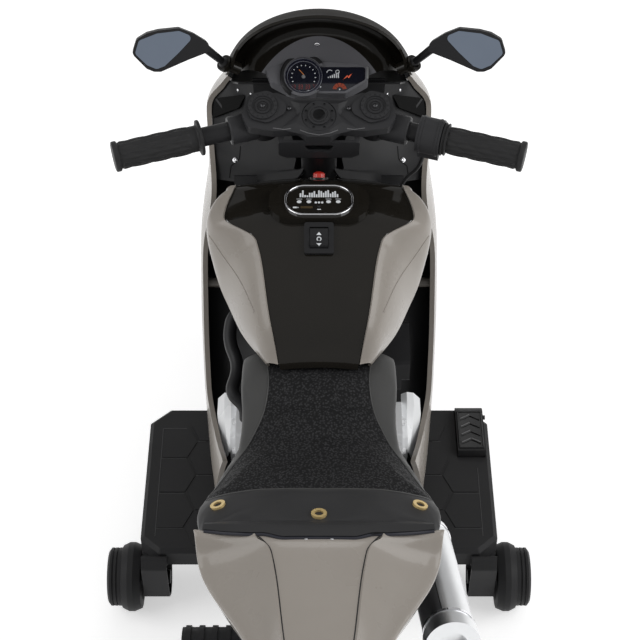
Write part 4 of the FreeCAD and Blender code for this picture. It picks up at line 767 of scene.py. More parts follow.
# Finishes that differ only in their values: colour, smooth, dull, grain, depth, mottle, coat, metallic and shine
MOULDED = {
    "taupe_paint": ("paint", 0.24, 0.32, 2600.0, 0.02, 0.10, 0.3, 0.0, 0.3),
    "gloss_black": ("gloss", 0.05, 0.09, 1200.0, 0.004, 0.3, 0.0, 0.0, 0.4),
    "hood_grey": ((0.030, 0.030, 0.032), 0.42, 0.55, 1500.0, 0.10, 0.25, 0.0, 0.0, 0.25),
    "display_glass": ((0.009, 0.010, 0.019), 0.05, 0.09, 1200.0, 0.004, 0.3, 0.5),
    "satin_black": ("plastic", 0.36, 0.50, 1500.0, 0.10, 0.25, 0.0, 0.0, 0.25),
    "matt_board": ("board", 0.50, 0.66, 800.0, 0.28, 0.25, 0.0, 0.0, 0.2),
    "ribbed_rubber": ("rubber", 0.48, 0.62, 1800.0, 0.15, 0.25, 0.0, 0.0, 0.25),
    "tyre_rubber": ("rubber", 0.62, 0.80, 700.0, 0.30, 0.25, 0.0, 0.0, 0.2),
    # Silver of the engine covers and shields, lightened against the shade between the fairings and the seat: painted
    # light
    "satin_silver_painted_light": ((0.88, 0.89, 0.90), 0.22, 0.34, 1200.0, 0.01, 0.1, 0.3, 0.1),
    "eyelet_brass": ("brass", 0.20, 0.32, 1200.0, 0.02, 0.1, 0.3, 0.6),
    "clear_lens": ((0.72, 0.74, 0.76), 0.04, 0.08, 300.0, 0.02, 0.2, 1.0, 0.35),
    "red_lens": ((0.42, 0.015, 0.015), 0.04, 0.08, 300.0, 0.02, 0.2, 1.0, 0.35),
    "red_button": ((0.75, 0.035, 0.022), 0.12, 0.2, 900.0, 0.02, 0.1, 0.6),
    "nylon": ((0.70, 0.69, 0.64), 0.4, 0.55),
    "seat_piping": ((0.055, 0.055, 0.054), 0.35, 0.5),
    "seat_flap": ("flap", 0.42, 0.52, 1500.0, 0.06, 0.25, 0.0, 0.0, 0.15),
    "seat_binding": ((0.030, 0.031, 0.040), 0.30, 0.42, 1200.0, 0.08, 0.25, 0.0, 0.0, 0.3),
    "dial_ring": ((0.012, 0.013, 0.030), 0.15, 0.28, 900.0, 0.02, 0.2, 0.5),
    "slot_brown": ((0.060, 0.040, 0.016), 0.3, 0.5),
    "pedal_gloss": ((0.007, 0.007, 0.0075), 0.20, 0.30, 900.0, 0.03, 0.3, 0.0, 0.0, 0.35),
    # Light grey of painted highlights along the yoke's edges and the pedal's ribs
    "edge_highlight_grey": ((0.16, 0.16, 0.165), 0.35, 0.5),
    # Grey of painted highlights along the footboards' pad edges
    "board_highlight_grey": ((0.065, 0.065, 0.067), 0.4, 0.55, 900.0, 0.05, 0.25, 0.0, 0.0, 0.25),
    # Black of the panels' seams, and of the painted shade in their windows
    "seam_and_shade_black": ((0.004, 0.004, 0.004), 0.5, 0.6, 900.0, 0.05, 0.25, 0.0, 0.0, 0.1),
}

# Colour, smooth, dull, lines across and depth
METAL = {
    "plain_steel": ((0.56, 0.56, 0.57), 0.25, 0.42),
    "dark_steel": ((0.10, 0.10, 0.105), 0.3, 0.45),
    "brushed_silver": ("silver", 0.30, 0.36, 220.0, 0.01),
    "chrome_trim": ((0.82, 0.82, 0.84), 0.05, 0.09, 600.0, 0.01),
    "mirror_glass": ((0.33, 0.39, 0.49), 0.02, 0.04, 30.0, 0.0),
}

# Colour and glow
PRINT = {
    # The white print's glow is painted light: the print is no lamp
    "white_print_painted_glow": ((0.66, 0.68, 0.70), 0.1),
    "red_print": ((0.24, 0.03, 0.03), 0.15),
    "dial_line": ((0.30, 0.31, 0.36),),
    "hub_grey": ((0.24, 0.24, 0.25),),
    "needle_orange": ((0.45, 0.16, 0.05), 0.2),
    "lamp_orange": ((0.75, 0.13, 0.06), 0.35),
    "gauge_orange": ((0.32, 0.055, 0.025), 0.1),
}

# Finishes with a maker of their own
SPECIAL = {
    "dash_grey": dash_finish, "screen_black": screen_finish, "taupe_outside_black_inside": fairing_finish,
    "silver_with_painted_shade": silencer_finish, "grained_seat": seat_finish,
}

# Parts that have each finish
NODE_FINISH = {
    "taupe_paint": "tank_side_left tank_side_right tail_top tail_side_left tail_side_right nose_cowl front_mudguard",
    "taupe_outside_black_inside": "side_fairing_left side_fairing_right",
    "gloss_black": "tank_cover music_panel",
    "screen_black": "windscreen",
    "display_glass": "dash_face",
    "dash_grey": "dash_housing",
    "hood_grey": "top_yoke yoke_caps throttle_housing",
    "satin_black": "frame_left frame_right gearbox_case drive_motor rear_mudguard seat_base inner_panels "
                   "steering_column fork_legs handlebars switch_frame rocker mirror_left mirror_right front_rim "
                   "rear_rim battery",
    "matt_board": "footboard_left footboard_right stabiliser_arms foot_pedal stabiliser_wheel_left "
                  "stabiliser_wheel_right",
    "ribbed_rubber": "throttle_cable grip_left throttle_grip",
    "tyre_rubber": "front_tyre rear_tyre",
    "plain_steel": "rear_axle front_axle motor_pinion",
    "satin_silver_painted_light": "engine_covers",
    "silver_with_painted_shade": "silencer",
    "chrome_trim": "music_bezel",
    "eyelet_brass": "seat_eyelets",
    "mirror_glass": "mirror_glass_left mirror_glass_right",
    "red_button": "start_button",
    "clear_lens": "headlights",
    "red_lens": "tail_light",
    "nylon": "wheel_gear idler_gear",
}


def finish(name):
    """The finish of that name, made on first use."""
    if name in bpy.data.materials:
        return bpy.data.materials[name]
    if name in SPECIAL:
        return SPECIAL[name](name)
    make, table = next((m, t) for m, t in ((moulded, MOULDED), (metal, METAL), (printed, PRINT)) if name in t)
    return make(name, *table[name])


class MOTORBIKE_OT_finishes(bpy.types.Operator):
    """Give every part its finish"""

    bl_idname = "motorbike.finishes"
    bl_label = "Part finishes"

    def execute(self, context):
        for name, nodes in NODE_FINISH.items():
            for node in nodes.split():
                mesh = surface_of(node)
                mesh.materials.clear()
                mesh.materials.append(finish(name))
        return {"FINISHED"}


# Seat: sections from front to rear as (y, half width, top, underside), in millimetres
SEAT = [(-6, 88, 430, 392), (-51, 89, 436, 392), (-99, 87, 428, 392), (-135, 90, 427, 392), (-168, 104, 432, 392),
        (-200, 115, 442, 397), (-232, 124, 453, 402), (-262, 128, 463, 414), (-299, 123, 473, 430)]
SEAM_LINE = [(-227, 119), (-212, 112), (-179, 98), (-131, 74), (-105, 63), (-91, 59.5), (-75, 57), (-58, 56),
             (-30, 58), (-5, 61)]
GRAIN_END = -231.0
REAR_BOW = 13.0
EYELETS = [(-104, -250), (0, -272), (104, -250)]

# Filling of the seat: points across and along the unfilled pad, how low its top starts and the height over the
# underside up to which it is held in millimetres, the pressure, and the frames that it takes
PAD_GRID = (45, 61)
PAD_LOW = 1.2
PAD_HELD = 9.0
PRESSURE = 4.0
FILL_FRAMES = 20

# Round an eyelet: where the cover starts to swell and where it swells fully, and the edge and the slope of its pad,
# in millimetres
EYELET_FLAT, EYELET_FREE = 14.0, 44.0
EYELET_PAD, EYELET_SLOPE = 19.0, 7.0

# Depth of the seams and of the grain's end, rise of the eyelets' pads and width of a seam's groove, in millimetres
SEAM_PULL, HEM_PULL, PAD_RISE, GROOVE = 1.3, 0.8, 0.5, 5.0

# Rear lip of the seat: its ends from left to right, its front and rear lines, how far its middle reaches back over
# the tail, its thickness, and the rolls of its binding as (back, up, radius), in millimetres
LIP_ENDS = (-116.03, 115.97)
LIP_FRONT, LIP_REAR = -284.0, -302.5
LIP_TONGUE = 6.5
LIP_T = 2.4
LIP_ROLLS = ((-0.6, -0.4, 1.9), (4.2, 0.1, 1.3))


def seat_section(k, v, level):
    """Seat surface at k from -1 left to 1 right and v from 0 front to 1 rear. The top sinks with the square of k,
    rolls over with its sixth power, and bows forwards towards the corners at both ends."""
    y = SEAT[0][0] + (SEAT[-1][0] - SEAT[0][0]) * v
    half, top, low = (hermite(y, SEAT, column) for column in (1, 2, 3))
    corner = np.clip((np.abs(k) - 0.52) / 0.48, 0, 1)
    bow = 6 * k ** 2 * (1 - v) ** 3 + REAR_BOW * eased(corner) * v ** 5
    if level == "low":
        return np.stack([(half - 3) * k, y + bow, low + 4.3 + 0 * k], -1)
    roll = 5 * np.clip(1 - v / 0.06, 0, None) ** 2 + 2 * np.clip((v - 0.95) / 0.05, 0, None) ** 2
    return np.stack([half * k, y + bow, top - 5 * k ** 2 - 17 * np.abs(k) ** 6 - roll], -1)


def eyelet_gap(co):
    """Distance in millimetres to the nearest eyelet."""
    return np.array([np.hypot(co[:, 0] / MM - x, co[:, 1] / MM - y) for x, y in EYELETS]).min(0)


def seam_half(y):
    """Half the width between the seams, in millimetres."""
    line = np.array(SEAM_LINE, float)
    return np.interp(y, line[:, 0], line[:, 1])


class MOTORBIKE_OT_seat(bpy.types.Operator):
    """Sew and fill the seat, with its seams and bound rear edge"""

    bl_idname = "motorbike.seat"
    bl_label = "Seat"

    def execute(self, context):
        co, faces = self.swollen(context, self.blank_pad())
        co = self.sewn(co)
        mesh = bpy.data.meshes.new("seat_cover")
        mesh.from_pydata(co.tolist(), [], faces)
        inside, ahead = self.seam_gap(co)
        for key, values in (("zone", np.clip(np.minimum(inside, ahead) / 10, -1, 1)),
                            ("flap", np.clip(0.5 - ahead / 4, 0, 1))):
            mesh.attributes.new(key, "FLOAT", "POINT").data.foreach_set("value", values.astype(np.float32))
        mesh.materials.append(finish("grained_seat"))
        mesh.shade_smooth()
        piece = bpy.data.objects.new("seat_cover", mesh)
        context.scene.collection.objects.link(piece)
        piece.modifiers.new("Round", "SUBSURF").levels = 1
        piece.modifiers["Round"].render_levels = 1
        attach(piece, "chassis")
        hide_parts("seat_pad")
        cover = bpy.data.meshes.new_from_object(evaluated(piece))
        self.seams(cover)
        self.lip(cover)
        return {"FINISHED"}

    @staticmethod
    def blank_pad():
        """The unfilled pad: the seat's top a little low, joined round the sides to its underside."""
        k, v = np.meshgrid(np.linspace(-1, 1, PAD_GRID[0]), np.linspace(0, 1, PAD_GRID[1]))
        top = seat_section(k, v, "top") - (0, 0, PAD_LOW)
        low = seat_section(k, v, "low")[:, ::-1]
        return capped(np.concatenate([top, low], 1) * MM)

    @staticmethod
    def swollen(context, shape):
        """The pad remeshed evenly and filled by pressure, each point moved by at most the swell."""
        scene, sizes = context.scene, size_props()
        work = put("seat_work", shape, "grained_seat", None)
        remesh = work.modifiers.new("Even", "REMESH")
        remesh.mode = "VOXEL"
        remesh.voxel_size = sizes.voxel
        mesh = bpy.data.meshes.new_from_object(evaluated(work))
        work.modifiers.clear()
        work.data = mesh
        rest = points_of(mesh)
        faces = [list(p.vertices) for p in mesh.polygons]
        moved = rest.copy()
        group = work.vertex_groups.new(name="held")
        low = (hermite(rest[:, 1] / MM, SEAT, 3) + PAD_HELD) * MM
        group.add(np.flatnonzero(rest[:, 2] < low).tolist(), 1.0, "REPLACE")
        cloth = work.modifiers.new("Fill", "CLOTH")
        cloth.settings.use_pressure = True
        cloth.settings.uniform_pressure_force = PRESSURE
        cloth.settings.vertex_group_mass = "held"
        cloth.settings.quality = 5
        cloth.settings.effector_weights.gravity = 0.0
        cloth.point_cache.frame_start, cloth.point_cache.frame_end = 1, FILL_FRAMES
        for step in range(1, FILL_FRAMES + 1):
            scene.frame_set(step)
        moved = points_of(evaluated(work).data)
        scene.frame_set(1)
        step = moved - rest
        length = np.linalg.norm(step, axis=1, keepdims=True)
        free = np.clip((eyelet_gap(rest) - EYELET_FLAT) / (EYELET_FREE - EYELET_FLAT), 0, 1)[:, None]
        out = rest + step * np.minimum(1, sizes.swell / np.maximum(length, 1e-9)) * free
        bpy.data.objects.remove(work)
        return out, faces

    @staticmethod
    def seam_gap(co):
        """Distance in millimetres inside the seam line and ahead of the grain's end."""
        y = co[:, 1] / MM
        return seam_half(y) - np.abs(co[:, 0] / MM), y - GRAIN_END

    @classmethod
    def sewn(cls, co):
        """The cover drawn in along its seams and raised in a pad round each eyelet."""
        inside, ahead = cls.seam_gap(co)
        upper = np.clip((co[:, 2] / MM - hermite(co[:, 1] / MM, SEAT, 3) - 14) / 12, 0, 1)
        seam = np.where(co[:, 1] / MM > -226, np.exp(-(inside / GROOVE) ** 2), 0)
        hem = np.exp(-(ahead / GROOVE) ** 2)
        eyelet = np.clip((EYELET_PAD - eyelet_gap(co)) / EYELET_SLOPE, 0, 1)
        pull = (SEAM_PULL * seam + HEM_PULL * hem - PAD_RISE * eyelet) * upper * MM
        return co - np.column_stack([0 * pull, 0 * pull, pull])

    @staticmethod
    def seams(cover):
        """Thin piping along the two seams and the grain's end."""
        y = np.linspace(-224, -12, 90)
        x = np.convolve(np.pad(seam_half(y), 4, mode="edge"), np.ones(9) / 9, mode="valid")
        runs = [tube(laid(cover, above(side * x, y)), 0.8 * MM, 8) for side in (-1, 1)]
        x = np.linspace(-116, 116, 60)
        runs.append(tube(laid(cover, above(x, GRAIN_END)), 0.7 * MM, 8))
        put("seat_seams", joined(runs), "seat_piping", "chassis")

    @staticmethod
    def lip(cover):
        """The flap's bound rear edge, whose middle lies further over the tail. It lies on the highest of what is under
        it, taken over a few points each way and then smoothed."""
        x = np.linspace(*LIP_ENDS, 117)
        corner = np.clip((np.abs(x) - 64) / 59, 0, 1)
        middle = np.clip((np.abs(x) - 34) / 24, 0, 1)
        rear = LIP_REAR + REAR_BOW * eased(corner) - LIP_TONGUE * (1 - eased(middle))
        t = np.linspace(0, 1, 13)[:, None]
        front = LIP_FRONT + 6 * corner
        y = front + (rear - front) * t
        under = [cover] + [surface_of(node) for node in ("tail_top", "tail_side_left", "tail_side_right")]
        found = np.array([settle(mesh, above(x, y), DOWN)[0][:, 2] for mesh in under])
        top = np.where(np.isnan(found), 0, found).max(0).reshape(y.shape)
        top = np.where(top == 0, np.maximum.accumulate(top, 0), top)
        weights = np.exp(-0.5 * (np.arange(-8, 9) / 4) ** 2)
        for axis in (1, 0):
            wide = np.pad(top, [(4, 4) if k == axis else (0, 0) for k in (0, 1)], mode="edge")
            top = np.lib.stride_tricks.sliding_window_view(wide, 9, axis).max(-1)
            wide = np.pad(top, [(8, 8) if k == axis else (0, 0) for k in (0, 1)], mode="edge")
            top = np.lib.stride_tricks.sliding_window_view(wide, 17, axis) @ (weights / weights.sum())
        lip = np.stack([x * MM + 0 * y, y * MM, top + np.clip(-3.0 + 10 * t, -3.0, 0.6) * MM], -1)
        put("seat_lip", slab(lip, LIP_T * MM), "seat_flap", "chassis")
        rolls = [tube(lip[-1] + np.array([0, dy, dz]) * MM, r * MM, 10) for dy, dz, r in LIP_ROLLS]
        put("seat_binding", joined(rolls), "seat_binding", "chassis")


# Grips and throttle housing, on the handlebar's axis

def bar_axis(side):
    """Root and direction of a handlebar, 1 for the right and -1 for the left."""
    turn = np.array([side, 1.0, 1.0])
    return BAR_ROOT * turn, BAR_DIR * turn


def grip_shape(side):
    """A turned grip with spindle ribs: each rib's width and height follow a cosine along it, and every other
    column of ribs starts half a rib later."""
    ends = [(80, 11.2), (80, 18.2), (80.8, 19.2), (82.2, 19.2), (82.8, 17.6), (84, 17.6), (84.6, 18.6), (86, 18.6),
            (86.6, 16.4), (87, 15.0)]
    if side < 0:
        ends = [(73, 11.2), (73, 19.4), (73.7, 20.5), (76.3, 20.5), (77, 19.6), (77.5, 16.2), (79, 15.0), (86, 15.0)]
    close = [(168.4, 15.0), (169.0, 16.6), (170.0, 17.5), (174.0, 17.5), (175.2, 16.7), (175.6, 15.0), (175.6, 0.3)]
    body = [(s, 15.0) for s in np.linspace(87, 167.5, 116)]
    s, r = np.array(ends + body + close, float).T
    count, columns, period = 160, 16, 23.0
    a = turns(count)
    turn = a * columns / (2 * np.pi)
    column = np.round(turn)
    aside = turn - column
    along = np.mod(s[:, None] - 88 - period / 2 * (column % 2)[None], period) / period - 0.5
    lens = np.cos(np.pi * along)
    ridge = np.clip(1 - (aside[None] / (0.47 * np.maximum(lens, 0.05))) ** 2, 0, 1) * np.sqrt(np.clip(lens, 0, 1))
    inside = np.clip((s - 87) / 2, 0, 1) * np.clip((167.5 - s) / 2, 0, 1)
    radius = r[:, None] * MM + size_props().rib * ridge * inside[:, None]
    root, d = bar_axis(side)
    axes = facing(d, (0.0, 0.0, 1.0))
    ring = np.cos(a)[:, None] * axes[0] + np.sin(a)[:, None] * axes[1]
    return capped(root + s[:, None, None] * MM * d + radius[..., None] * ring[None])


class MOTORBIKE_OT_grips(bpy.types.Operator):
    """Make the ribbed grips and the rings of the throttle housing"""

    bl_idname = "motorbike.grips"
    bl_label = "Grips"

    def execute(self, context):
        left = put("grip_ribbed_left", grip_shape(-1), "ribbed_rubber", "steering")
        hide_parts("grip_left")
        right = put("grip_ribbed_right", grip_shape(1), "ribbed_rubber", "throttle")
        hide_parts("throttle_grip")
        ring = np.array([(-1.4, 20.4), (-1.1, 21.7), (1.1, 21.7), (1.4, 20.4)])
        rings = [lathe((ring + (s, 0)) * MM, *bar_axis(1), 56) for s in (56.5, 75.5)]
        put("throttle_rings", joined(rings), "hood_grey", "steering")
        band = np.array([(9, 10.8), (9, 15.6), (10.2, 16.4), (39.4, 16.4), (40.8, 15.4), (41, 14.2), (41, 10.8)])
        bands = [lathe(band * MM, *bar_axis(side), 48) for side in (-1, 1)]
        put("bar_collars", joined(bands), "hood_grey", "steering")
        return {"FINISHED"}


# Throttle cable: the points of its route from the housing to the frame, in millimetres
CABLE_ROUTE = [(120.67, 176.26, 563.63), (120.67, 182.26, 537.63), (98, 186, 512), (92, 176, 478), (72, 168, 452)]


def spline_points(route):
    """Points read from the smooth spline of order three whose control points are the route."""
    curve = bpy.data.curves.new("route", "CURVE")
    curve.dimensions = "3D"
    spline = curve.splines.new("NURBS")
    spline.points.add(len(route) - 1)
    spline.points.foreach_set("co", np.column_stack([np.asarray(route) * MM, np.ones(len(route))]).ravel())
    spline.order_u = 3
    spline.use_endpoint_u = True
    spline.resolution_u = 16
    carrier = bpy.data.objects.new("route", curve)
    co = points_of(bpy.data.meshes.new_from_object(carrier))
    bpy.data.objects.remove(carrier)
    return co


class MOTORBIKE_OT_cable(bpy.types.Operator):
    """Lay the throttle cable"""

    bl_idname = "motorbike.cable"
    bl_label = "Throttle cable"

    def execute(self, context):
        path = spline_points(CABLE_ROUTE)
        cable = put("throttle_cable_sleeve", tube(path, 2.2 * MM, 14), "ribbed_rubber", None)
        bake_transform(cable)
        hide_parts("throttle_cable")
        ferrule = np.array([(-5, 2.0), (-5, 3.0), (-3, 3.4), (-2.5, 4.4), (1, 4.4), (1, 2.0)]) * MM
        put("cable_ferrule", lathe(ferrule, path[0], path[0] - path[4], 24), "plain_steel", "steering")
        boot = np.array([(-1, 6.5), (2, 6.5), (4, 4.6), (12, 3.0), (12, 1.8)]) * MM
        put("cable_boot", lathe(boot, path[-1], path[-5] - path[-1], 24), "ribbed_rubber", "chassis")
        return {"FINISHED"}


# Dashboard: a point and the axes of its plane, and the centre of its dial and the depth of its face, in millimetres
DASH_AT = np.array([0.0, 242.0, 614.0]) * MM
DASH_TILT = math.radians(33.0)
DASH_AXES = np.array([(1, 0, 0), (0, math.cos(DASH_TILT), math.sin(DASH_TILT)),
                      (0, -math.sin(DASH_TILT), math.cos(DASH_TILT))])
DIAL = (-18.0, 6.5)
FACE = -1.2


def dash_spot(x, y, z=0.0):
    return framed(np.array([x, y, z]) * MM, DASH_AT, DASH_AXES)


class MOTORBIKE_OT_dash(bpy.types.Operator):
    """Make the dial, its rim and the marks of the display"""

    bl_idname = "motorbike.dash"
    bl_label = "Dashboard"

    def execute(self, context):
        dial, axis = dash_spot(*DIAL, FACE), DASH_AXES[2]
        put("dial_rim", self.rim(), "satin_black", "chassis")
        for name, rings in (("dial_ring", ((20.2, 2.6, 1.6), (16.9, 0.9, 0.9))),
                            ("dial_line", ((18.6, 0.5, 1.1), (21.6, 0.5, 1.9)))):
            put(name, joined([hoop(*ring, dial, axis) for ring in rings]), name, "chassis")
        self.show("dial_ticks", self.ticks(), "white_print_painted_glow")
        hub = lathe(np.array([(-0.3, 2.3), (0.8, 2.3), (1.5, 1.7), (1.7, 0.1)]) * MM, dial, axis, 20)
        put("dial_hub", hub, "hub_grey", "chassis")
        x, y = DIAL
        self.show("dial_needle", [line_mark(x + 1, y + 1.5, x - 5, y + 8.5, 0.9)], "needle_orange", 0.7)
        self.show("dial_digits", self.digits(), "red_print")
        self.show("display_marks", self.display(), "white_print_painted_glow")
        bolt = [(28, 3), (33, 8.5), (33.5, 6.2), (38.5, 10.5), (34.6, 4.6), (33.2, 6.6)]
        self.show("display_bolt", [bolt], "lamp_orange")
        gauge = [arc_mark(24, -9.3, 3.6, 8.2, a, a + 30) for a in (8, 42, 76, 110, 144)]
        self.show("display_gauge", gauge, "gauge_orange")
        edge = marks([line_mark(56.2, 3.5, 56.6, 19.5, 2.2)], dash_spot(0, 0), DASH_AXES, 1.0, 1.0)
        put("display_edge", edge, "brushed_silver", "chassis")
        return {"FINISHED"}

    @staticmethod
    def show(name, outlines, look, height=0.25):
        """Marks on the display's face."""
        put(name, marks(outlines, dash_spot(0, 0, FACE), DASH_AXES, height), look, "chassis")

    @staticmethod
    def rim():
        """A hooded rim: a rounded section carried along an arc round the dial."""
        r, z = np.array([(22.1, -1.2), (22.3, 3.4), (23.2, 4.6), (25.6, 4.9), (27.0, 4.0), (27.6, 1.0), (27.6, -3.0)]).T
        a = np.radians(np.linspace(36, 236, 64))[:, None]
        local = np.stack([DIAL[0] + r * np.cos(a), DIAL[1] + r * np.sin(a), z + 0 * a], -1)
        return capped(framed(local * MM, DASH_AT, DASH_AXES))

    @staticmethod
    def ticks():
        a = np.radians(np.linspace(205, -25, 12))
        inner, outer = (np.array(DIAL) + r * np.column_stack([np.cos(a), np.sin(a)]) for r in (13.0, 14.7))
        return [line_mark(*start, *end, 1.0) for start, end in zip(inner, outer)]

    @staticmethod
    def digits():
        """Four pairs of numerals, each of bars round two squares."""
        out = []
        for x in (-30.0, -21.6, -13.2, -4.8):
            for dx in (-1.5, 1.5):
                out += [bar_mark(x + dx, -5.9 + dy, 1.7, 0.55) for dy in (-2.4, 0.0, 2.4)]
                out += [bar_mark(x + dx + 0.95, -5.9 + dy, 0.5, 1.9) for dy in (-1.2, 1.2)]
        return out

    @staticmethod
    def display():
        """Plain display marks: a level scale, two rings, three dashes and two dots."""
        out = [bar_mark(11 + 2.3 * k, 5 + 0.6 * (k + 1), 1.4, 1.2 * (k + 1)) for k in range(6)]
        out += [arc_mark(12.6, 11.2, 3.0, 3.9, 40, 180), arc_mark(21.5, 12.4, 1.7, 2.5, 0, 350)]
        out += [bar_mark(x, -10.2, 3.0, 0.6) for x in (-29.6, -21.2, -12.8)]
        out += [disc_mark(1.7, -6.0, 0.9, 0.9, 12), disc_mark(24, -9.0, 1.0, 1.0, 12)]
        return out


# Centre of the control island, in millimetres
MUSIC_Y = 107.0


class MOTORBIKE_OT_controls(bpy.types.Operator):
    """Print the music panel and the rocker"""

    bl_idname = "motorbike.controls"
    bl_label = "Controls"

    def execute(self, context):
        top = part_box("music_panel")[1][2]
        at, axes = np.array([0, MUSIC_Y * MM, top]), np.eye(3)
        levels = [.55, .95, .3, .25, .6, .62, .85, .4, .95, .85, .62, .85, 1.0, .5, .72, .85, .42]
        bars = [bar_mark(-21 + 2.62 * k, 5.0 + 6.0 * v, 1.9, 12.0 * v) for k, v in enumerate(levels)]
        keys = [disc_mark(x, -2.6, 2.7, 2.4) for x in (-22.4, -11.4, 10.8, 21.8)]
        keys += [disc_mark(x, -3.9, 1.4, 1.6, 14) for x in (-3.6, 0.0, 3.6)]
        keys += [bar_mark(x, 1.9, 6.4, 0.5) for x in (-22.4, -11.4, 10.8, 21.8)]
        keys += [bar_mark(-27.2, -12.2, 4.4, 2.4), bar_mark(-23.8, -12.2, 1.4, 1.3), bar_mark(0, -15.4, 4.2, 1.2)]
        put("panel_print", marks(bars + keys, at, axes, 0.2), "white_print_painted_glow", "chassis")
        slot = marks([rounded(bar_mark(-14, -12.0, 13.6, 3.4), 1.2)], at, axes, 0.35)
        put("panel_slot", slot, "slot_brown", "chassis")
        arrow = marks([np.array([(-2.6, -9.4), (2.6, -9.4), (0, -12.8)])], at, axes, 0.2)
        put("panel_arrow", arrow, "ribbed_rubber", "chassis")
        self.rocker()
        return {"FINISHED"}

    @staticmethod
    def rocker():
        """White symbols on the two slopes of the rocker and a ring between them."""
        low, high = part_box("rocker")
        normal = unit(np.cross([1.0, 0.0, 0.0], np.array([0.0, high[1] - low[1], high[2] - low[2]])))
        along = np.cross(normal, [1.0, 0.0, 0.0])
        base = np.array(joint_named("rocker_tip")["pos_m"])
        shapes = []
        for dy, outline in ((6.6, [(-2.9, -1.7), (2.9, -1.7), (0, 1.7)]), (-6.6, [(-2.9, 1.7), (0, -1.7), (2.9, 1.7)]),
                            (0.0, None)):
            spot, up = settle(surface_of("rocker"), [base + along * dy * MM + normal * 0.05], -normal)
            axes = facing(up[0] if outline else normal)
            outlines = [np.array(outline)] if outline else [arc_mark(0, 0, 1.7, 2.7, a, a + 181) for a in (0, 180)]
            shapes.append(marks(outlines, spot[0], axes, 0.25 if outline else 1.0, 0.6))
        put("rocker_print", joined(shapes), "white_print_painted_glow", "rocker")


# Right fork cap's centre and the circle of its dots, in the steering frame, in millimetres
CAP_AT = np.array([63.5, 12.0, 5.0])
CAP_DOTS_R = 14.5


class MOTORBIKE_OT_yoke(bpy.types.Operator):
    """Ring and dot the fork caps and the steering nut"""

    bl_idname = "motorbike.yoke"
    bl_label = "Yoke"

    def execute(self, context):
        dot = np.array([(-0.4, 1.0), (0.35, 0.9), (0.6, 0.45), (0.65, 0.05)])
        dots, rings, screws = [], [], []
        for side in (-1, 1):
            centre = CAP_AT * (side, 1, 1)
            for t in turns(16):
                spot = centre + (CAP_DOTS_R * math.cos(t), CAP_DOTS_R * math.sin(t), 0)
                dots.append(lathe(dot * MM, steer_place(spot), STEER_Z, 10))
            for r, width, height, low in ((6.0, 1.0, 0.8, 1.4), (9.6, 1.0, 0.8, 1.4), (16.9, 1.2, 0.6, 2.0)):
                rings.append(hoop(r, width, height, steer_place(centre - (0, 0, low)), STEER_Z))
            screws.append(screw(steer_place((33.5 * side, 9.6, 3.0)), STEER_Z, 2.4))
            screws.append(screw(steer_place(centre + (0, 0, 0.1)), STEER_Z, 2.6))
        rings.append(hoop(9.6, 1.2, 0.7, steer_place((0, 0, 6.0)), STEER_Z))
        put("cap_dots", joined(dots), "satin_black", "steering")
        put("cap_rings", joined(rings), "satin_black", "steering")
        put("cap_screws", joined(screws), "dark_steel", "steering")
        return {"FINISHED"}


# Foot pedal: centre of its tread, and the rows of its ribs from there, in millimetres
PEDAL_AT = (199.0, 122.5)
PEDAL_RIBS = (-21.0, -7.5, 6.0, 19.5)


class MOTORBIKE_OT_boards(bpy.types.Operator):
    """Add the footboards' bolts and painted highlights along their pads' edges, and the pedal's ribbed tread with
    painted highlights on its ribs
    """

    bl_idname = "motorbike.boards"
    bl_label = "Footboards"

    def execute(self, context):
        bolts = []
        for side, node in ((-1, "footboard_left"), (1, "footboard_right")):
            for x, y in ((112, 92), (104, -48)):
                spot = settle(surface_of(node), above(side * x, y), DOWN)[0][0]
                bolts.append(screw(spot, (0, 0, 1), 4.2))
        put("board_bolts", joined(bolts), "plain_steel", "chassis")
        at = np.array([PEDAL_AT[0] * MM, PEDAL_AT[1] * MM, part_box("foot_pedal")[1][2]])
        shapes = [plate(rounded(bar_mark(0, 0, 33, 64), 3) * MM, -0.3 * MM, 0.8 * MM, 0.4 * MM, at, np.eye(3))]
        shapes += [plate(line * MM, 0.0, 1.9 * MM, 0.5 * MM, at, np.eye(3)) for line in
                   (bar_mark(-15.2, 0, 2.2, 60), bar_mark(15.2, 0, 2.2, 60), bar_mark(0, 30.6, 32, 2.2),
                    bar_mark(0, -30.6, 32, 2.2))]
        for y in PEDAL_RIBS:
            rib = np.array([(-12.5, y - 4), (0, y + 3), (12.5, y - 4), (12.5, y), (0, y + 7), (-12.5, y)])
            shapes.append(plate(rib * MM, 0.0, 2.2 * MM, 0.4 * MM, at, np.eye(3)))
        put("pedal_tread", joined(shapes), "pedal_gloss", "pedal")
        # Light lines along the pedal's ribs: painted highlights
        rows = [line_mark(-12.3, y - 1.6, -0.5, y + 5.1, 1.0) for y in PEDAL_RIBS]
        rows.append(line_mark(0.5, -15.9, 12.3, -22.6, 1.0))
        put("pedal_highlights", marks(rows, at + (0, 0, 2.2 * MM), np.eye(3), 0.2), "edge_highlight_grey", "pedal")
        self.pads()
        return {"FINISHED"}

    @staticmethod
    def pads():
        """Light lines along the edges of the footboards' pads: painted highlights."""
        rungs = [[(163.5, 428.5), (187, 428.5)], [(161.3, 458.4), (186.5, 458.4)], [(158.4, 493.4), (184.5, 493.4)],
                 [(155.7, 528.4), (183, 528.4)], [(197.5, 441.4), (206, 441.4)], [(196, 475.5), (212, 475.5)]]
        left = [[(163.5, 429), (155, 536)]] + rungs
        right = [mirrored(line) for line in [[(160.5, 468), (155, 536)]] + rungs[2:]]
        edges = [lines_on([node], lines, 1.0, 0.3)
                 for node, lines in (("footboard_left", left), ("footboard_right", right))]
        put("board_highlights", joined(edges), "board_highlight_grey", "chassis")


# Swells of the tank's slope: centre of the right one, radius and rise, in millimetres
PLUG_AT = (31.0, 5.0)
PLUG_R = 22.0
PLUG_RISE = 1.7


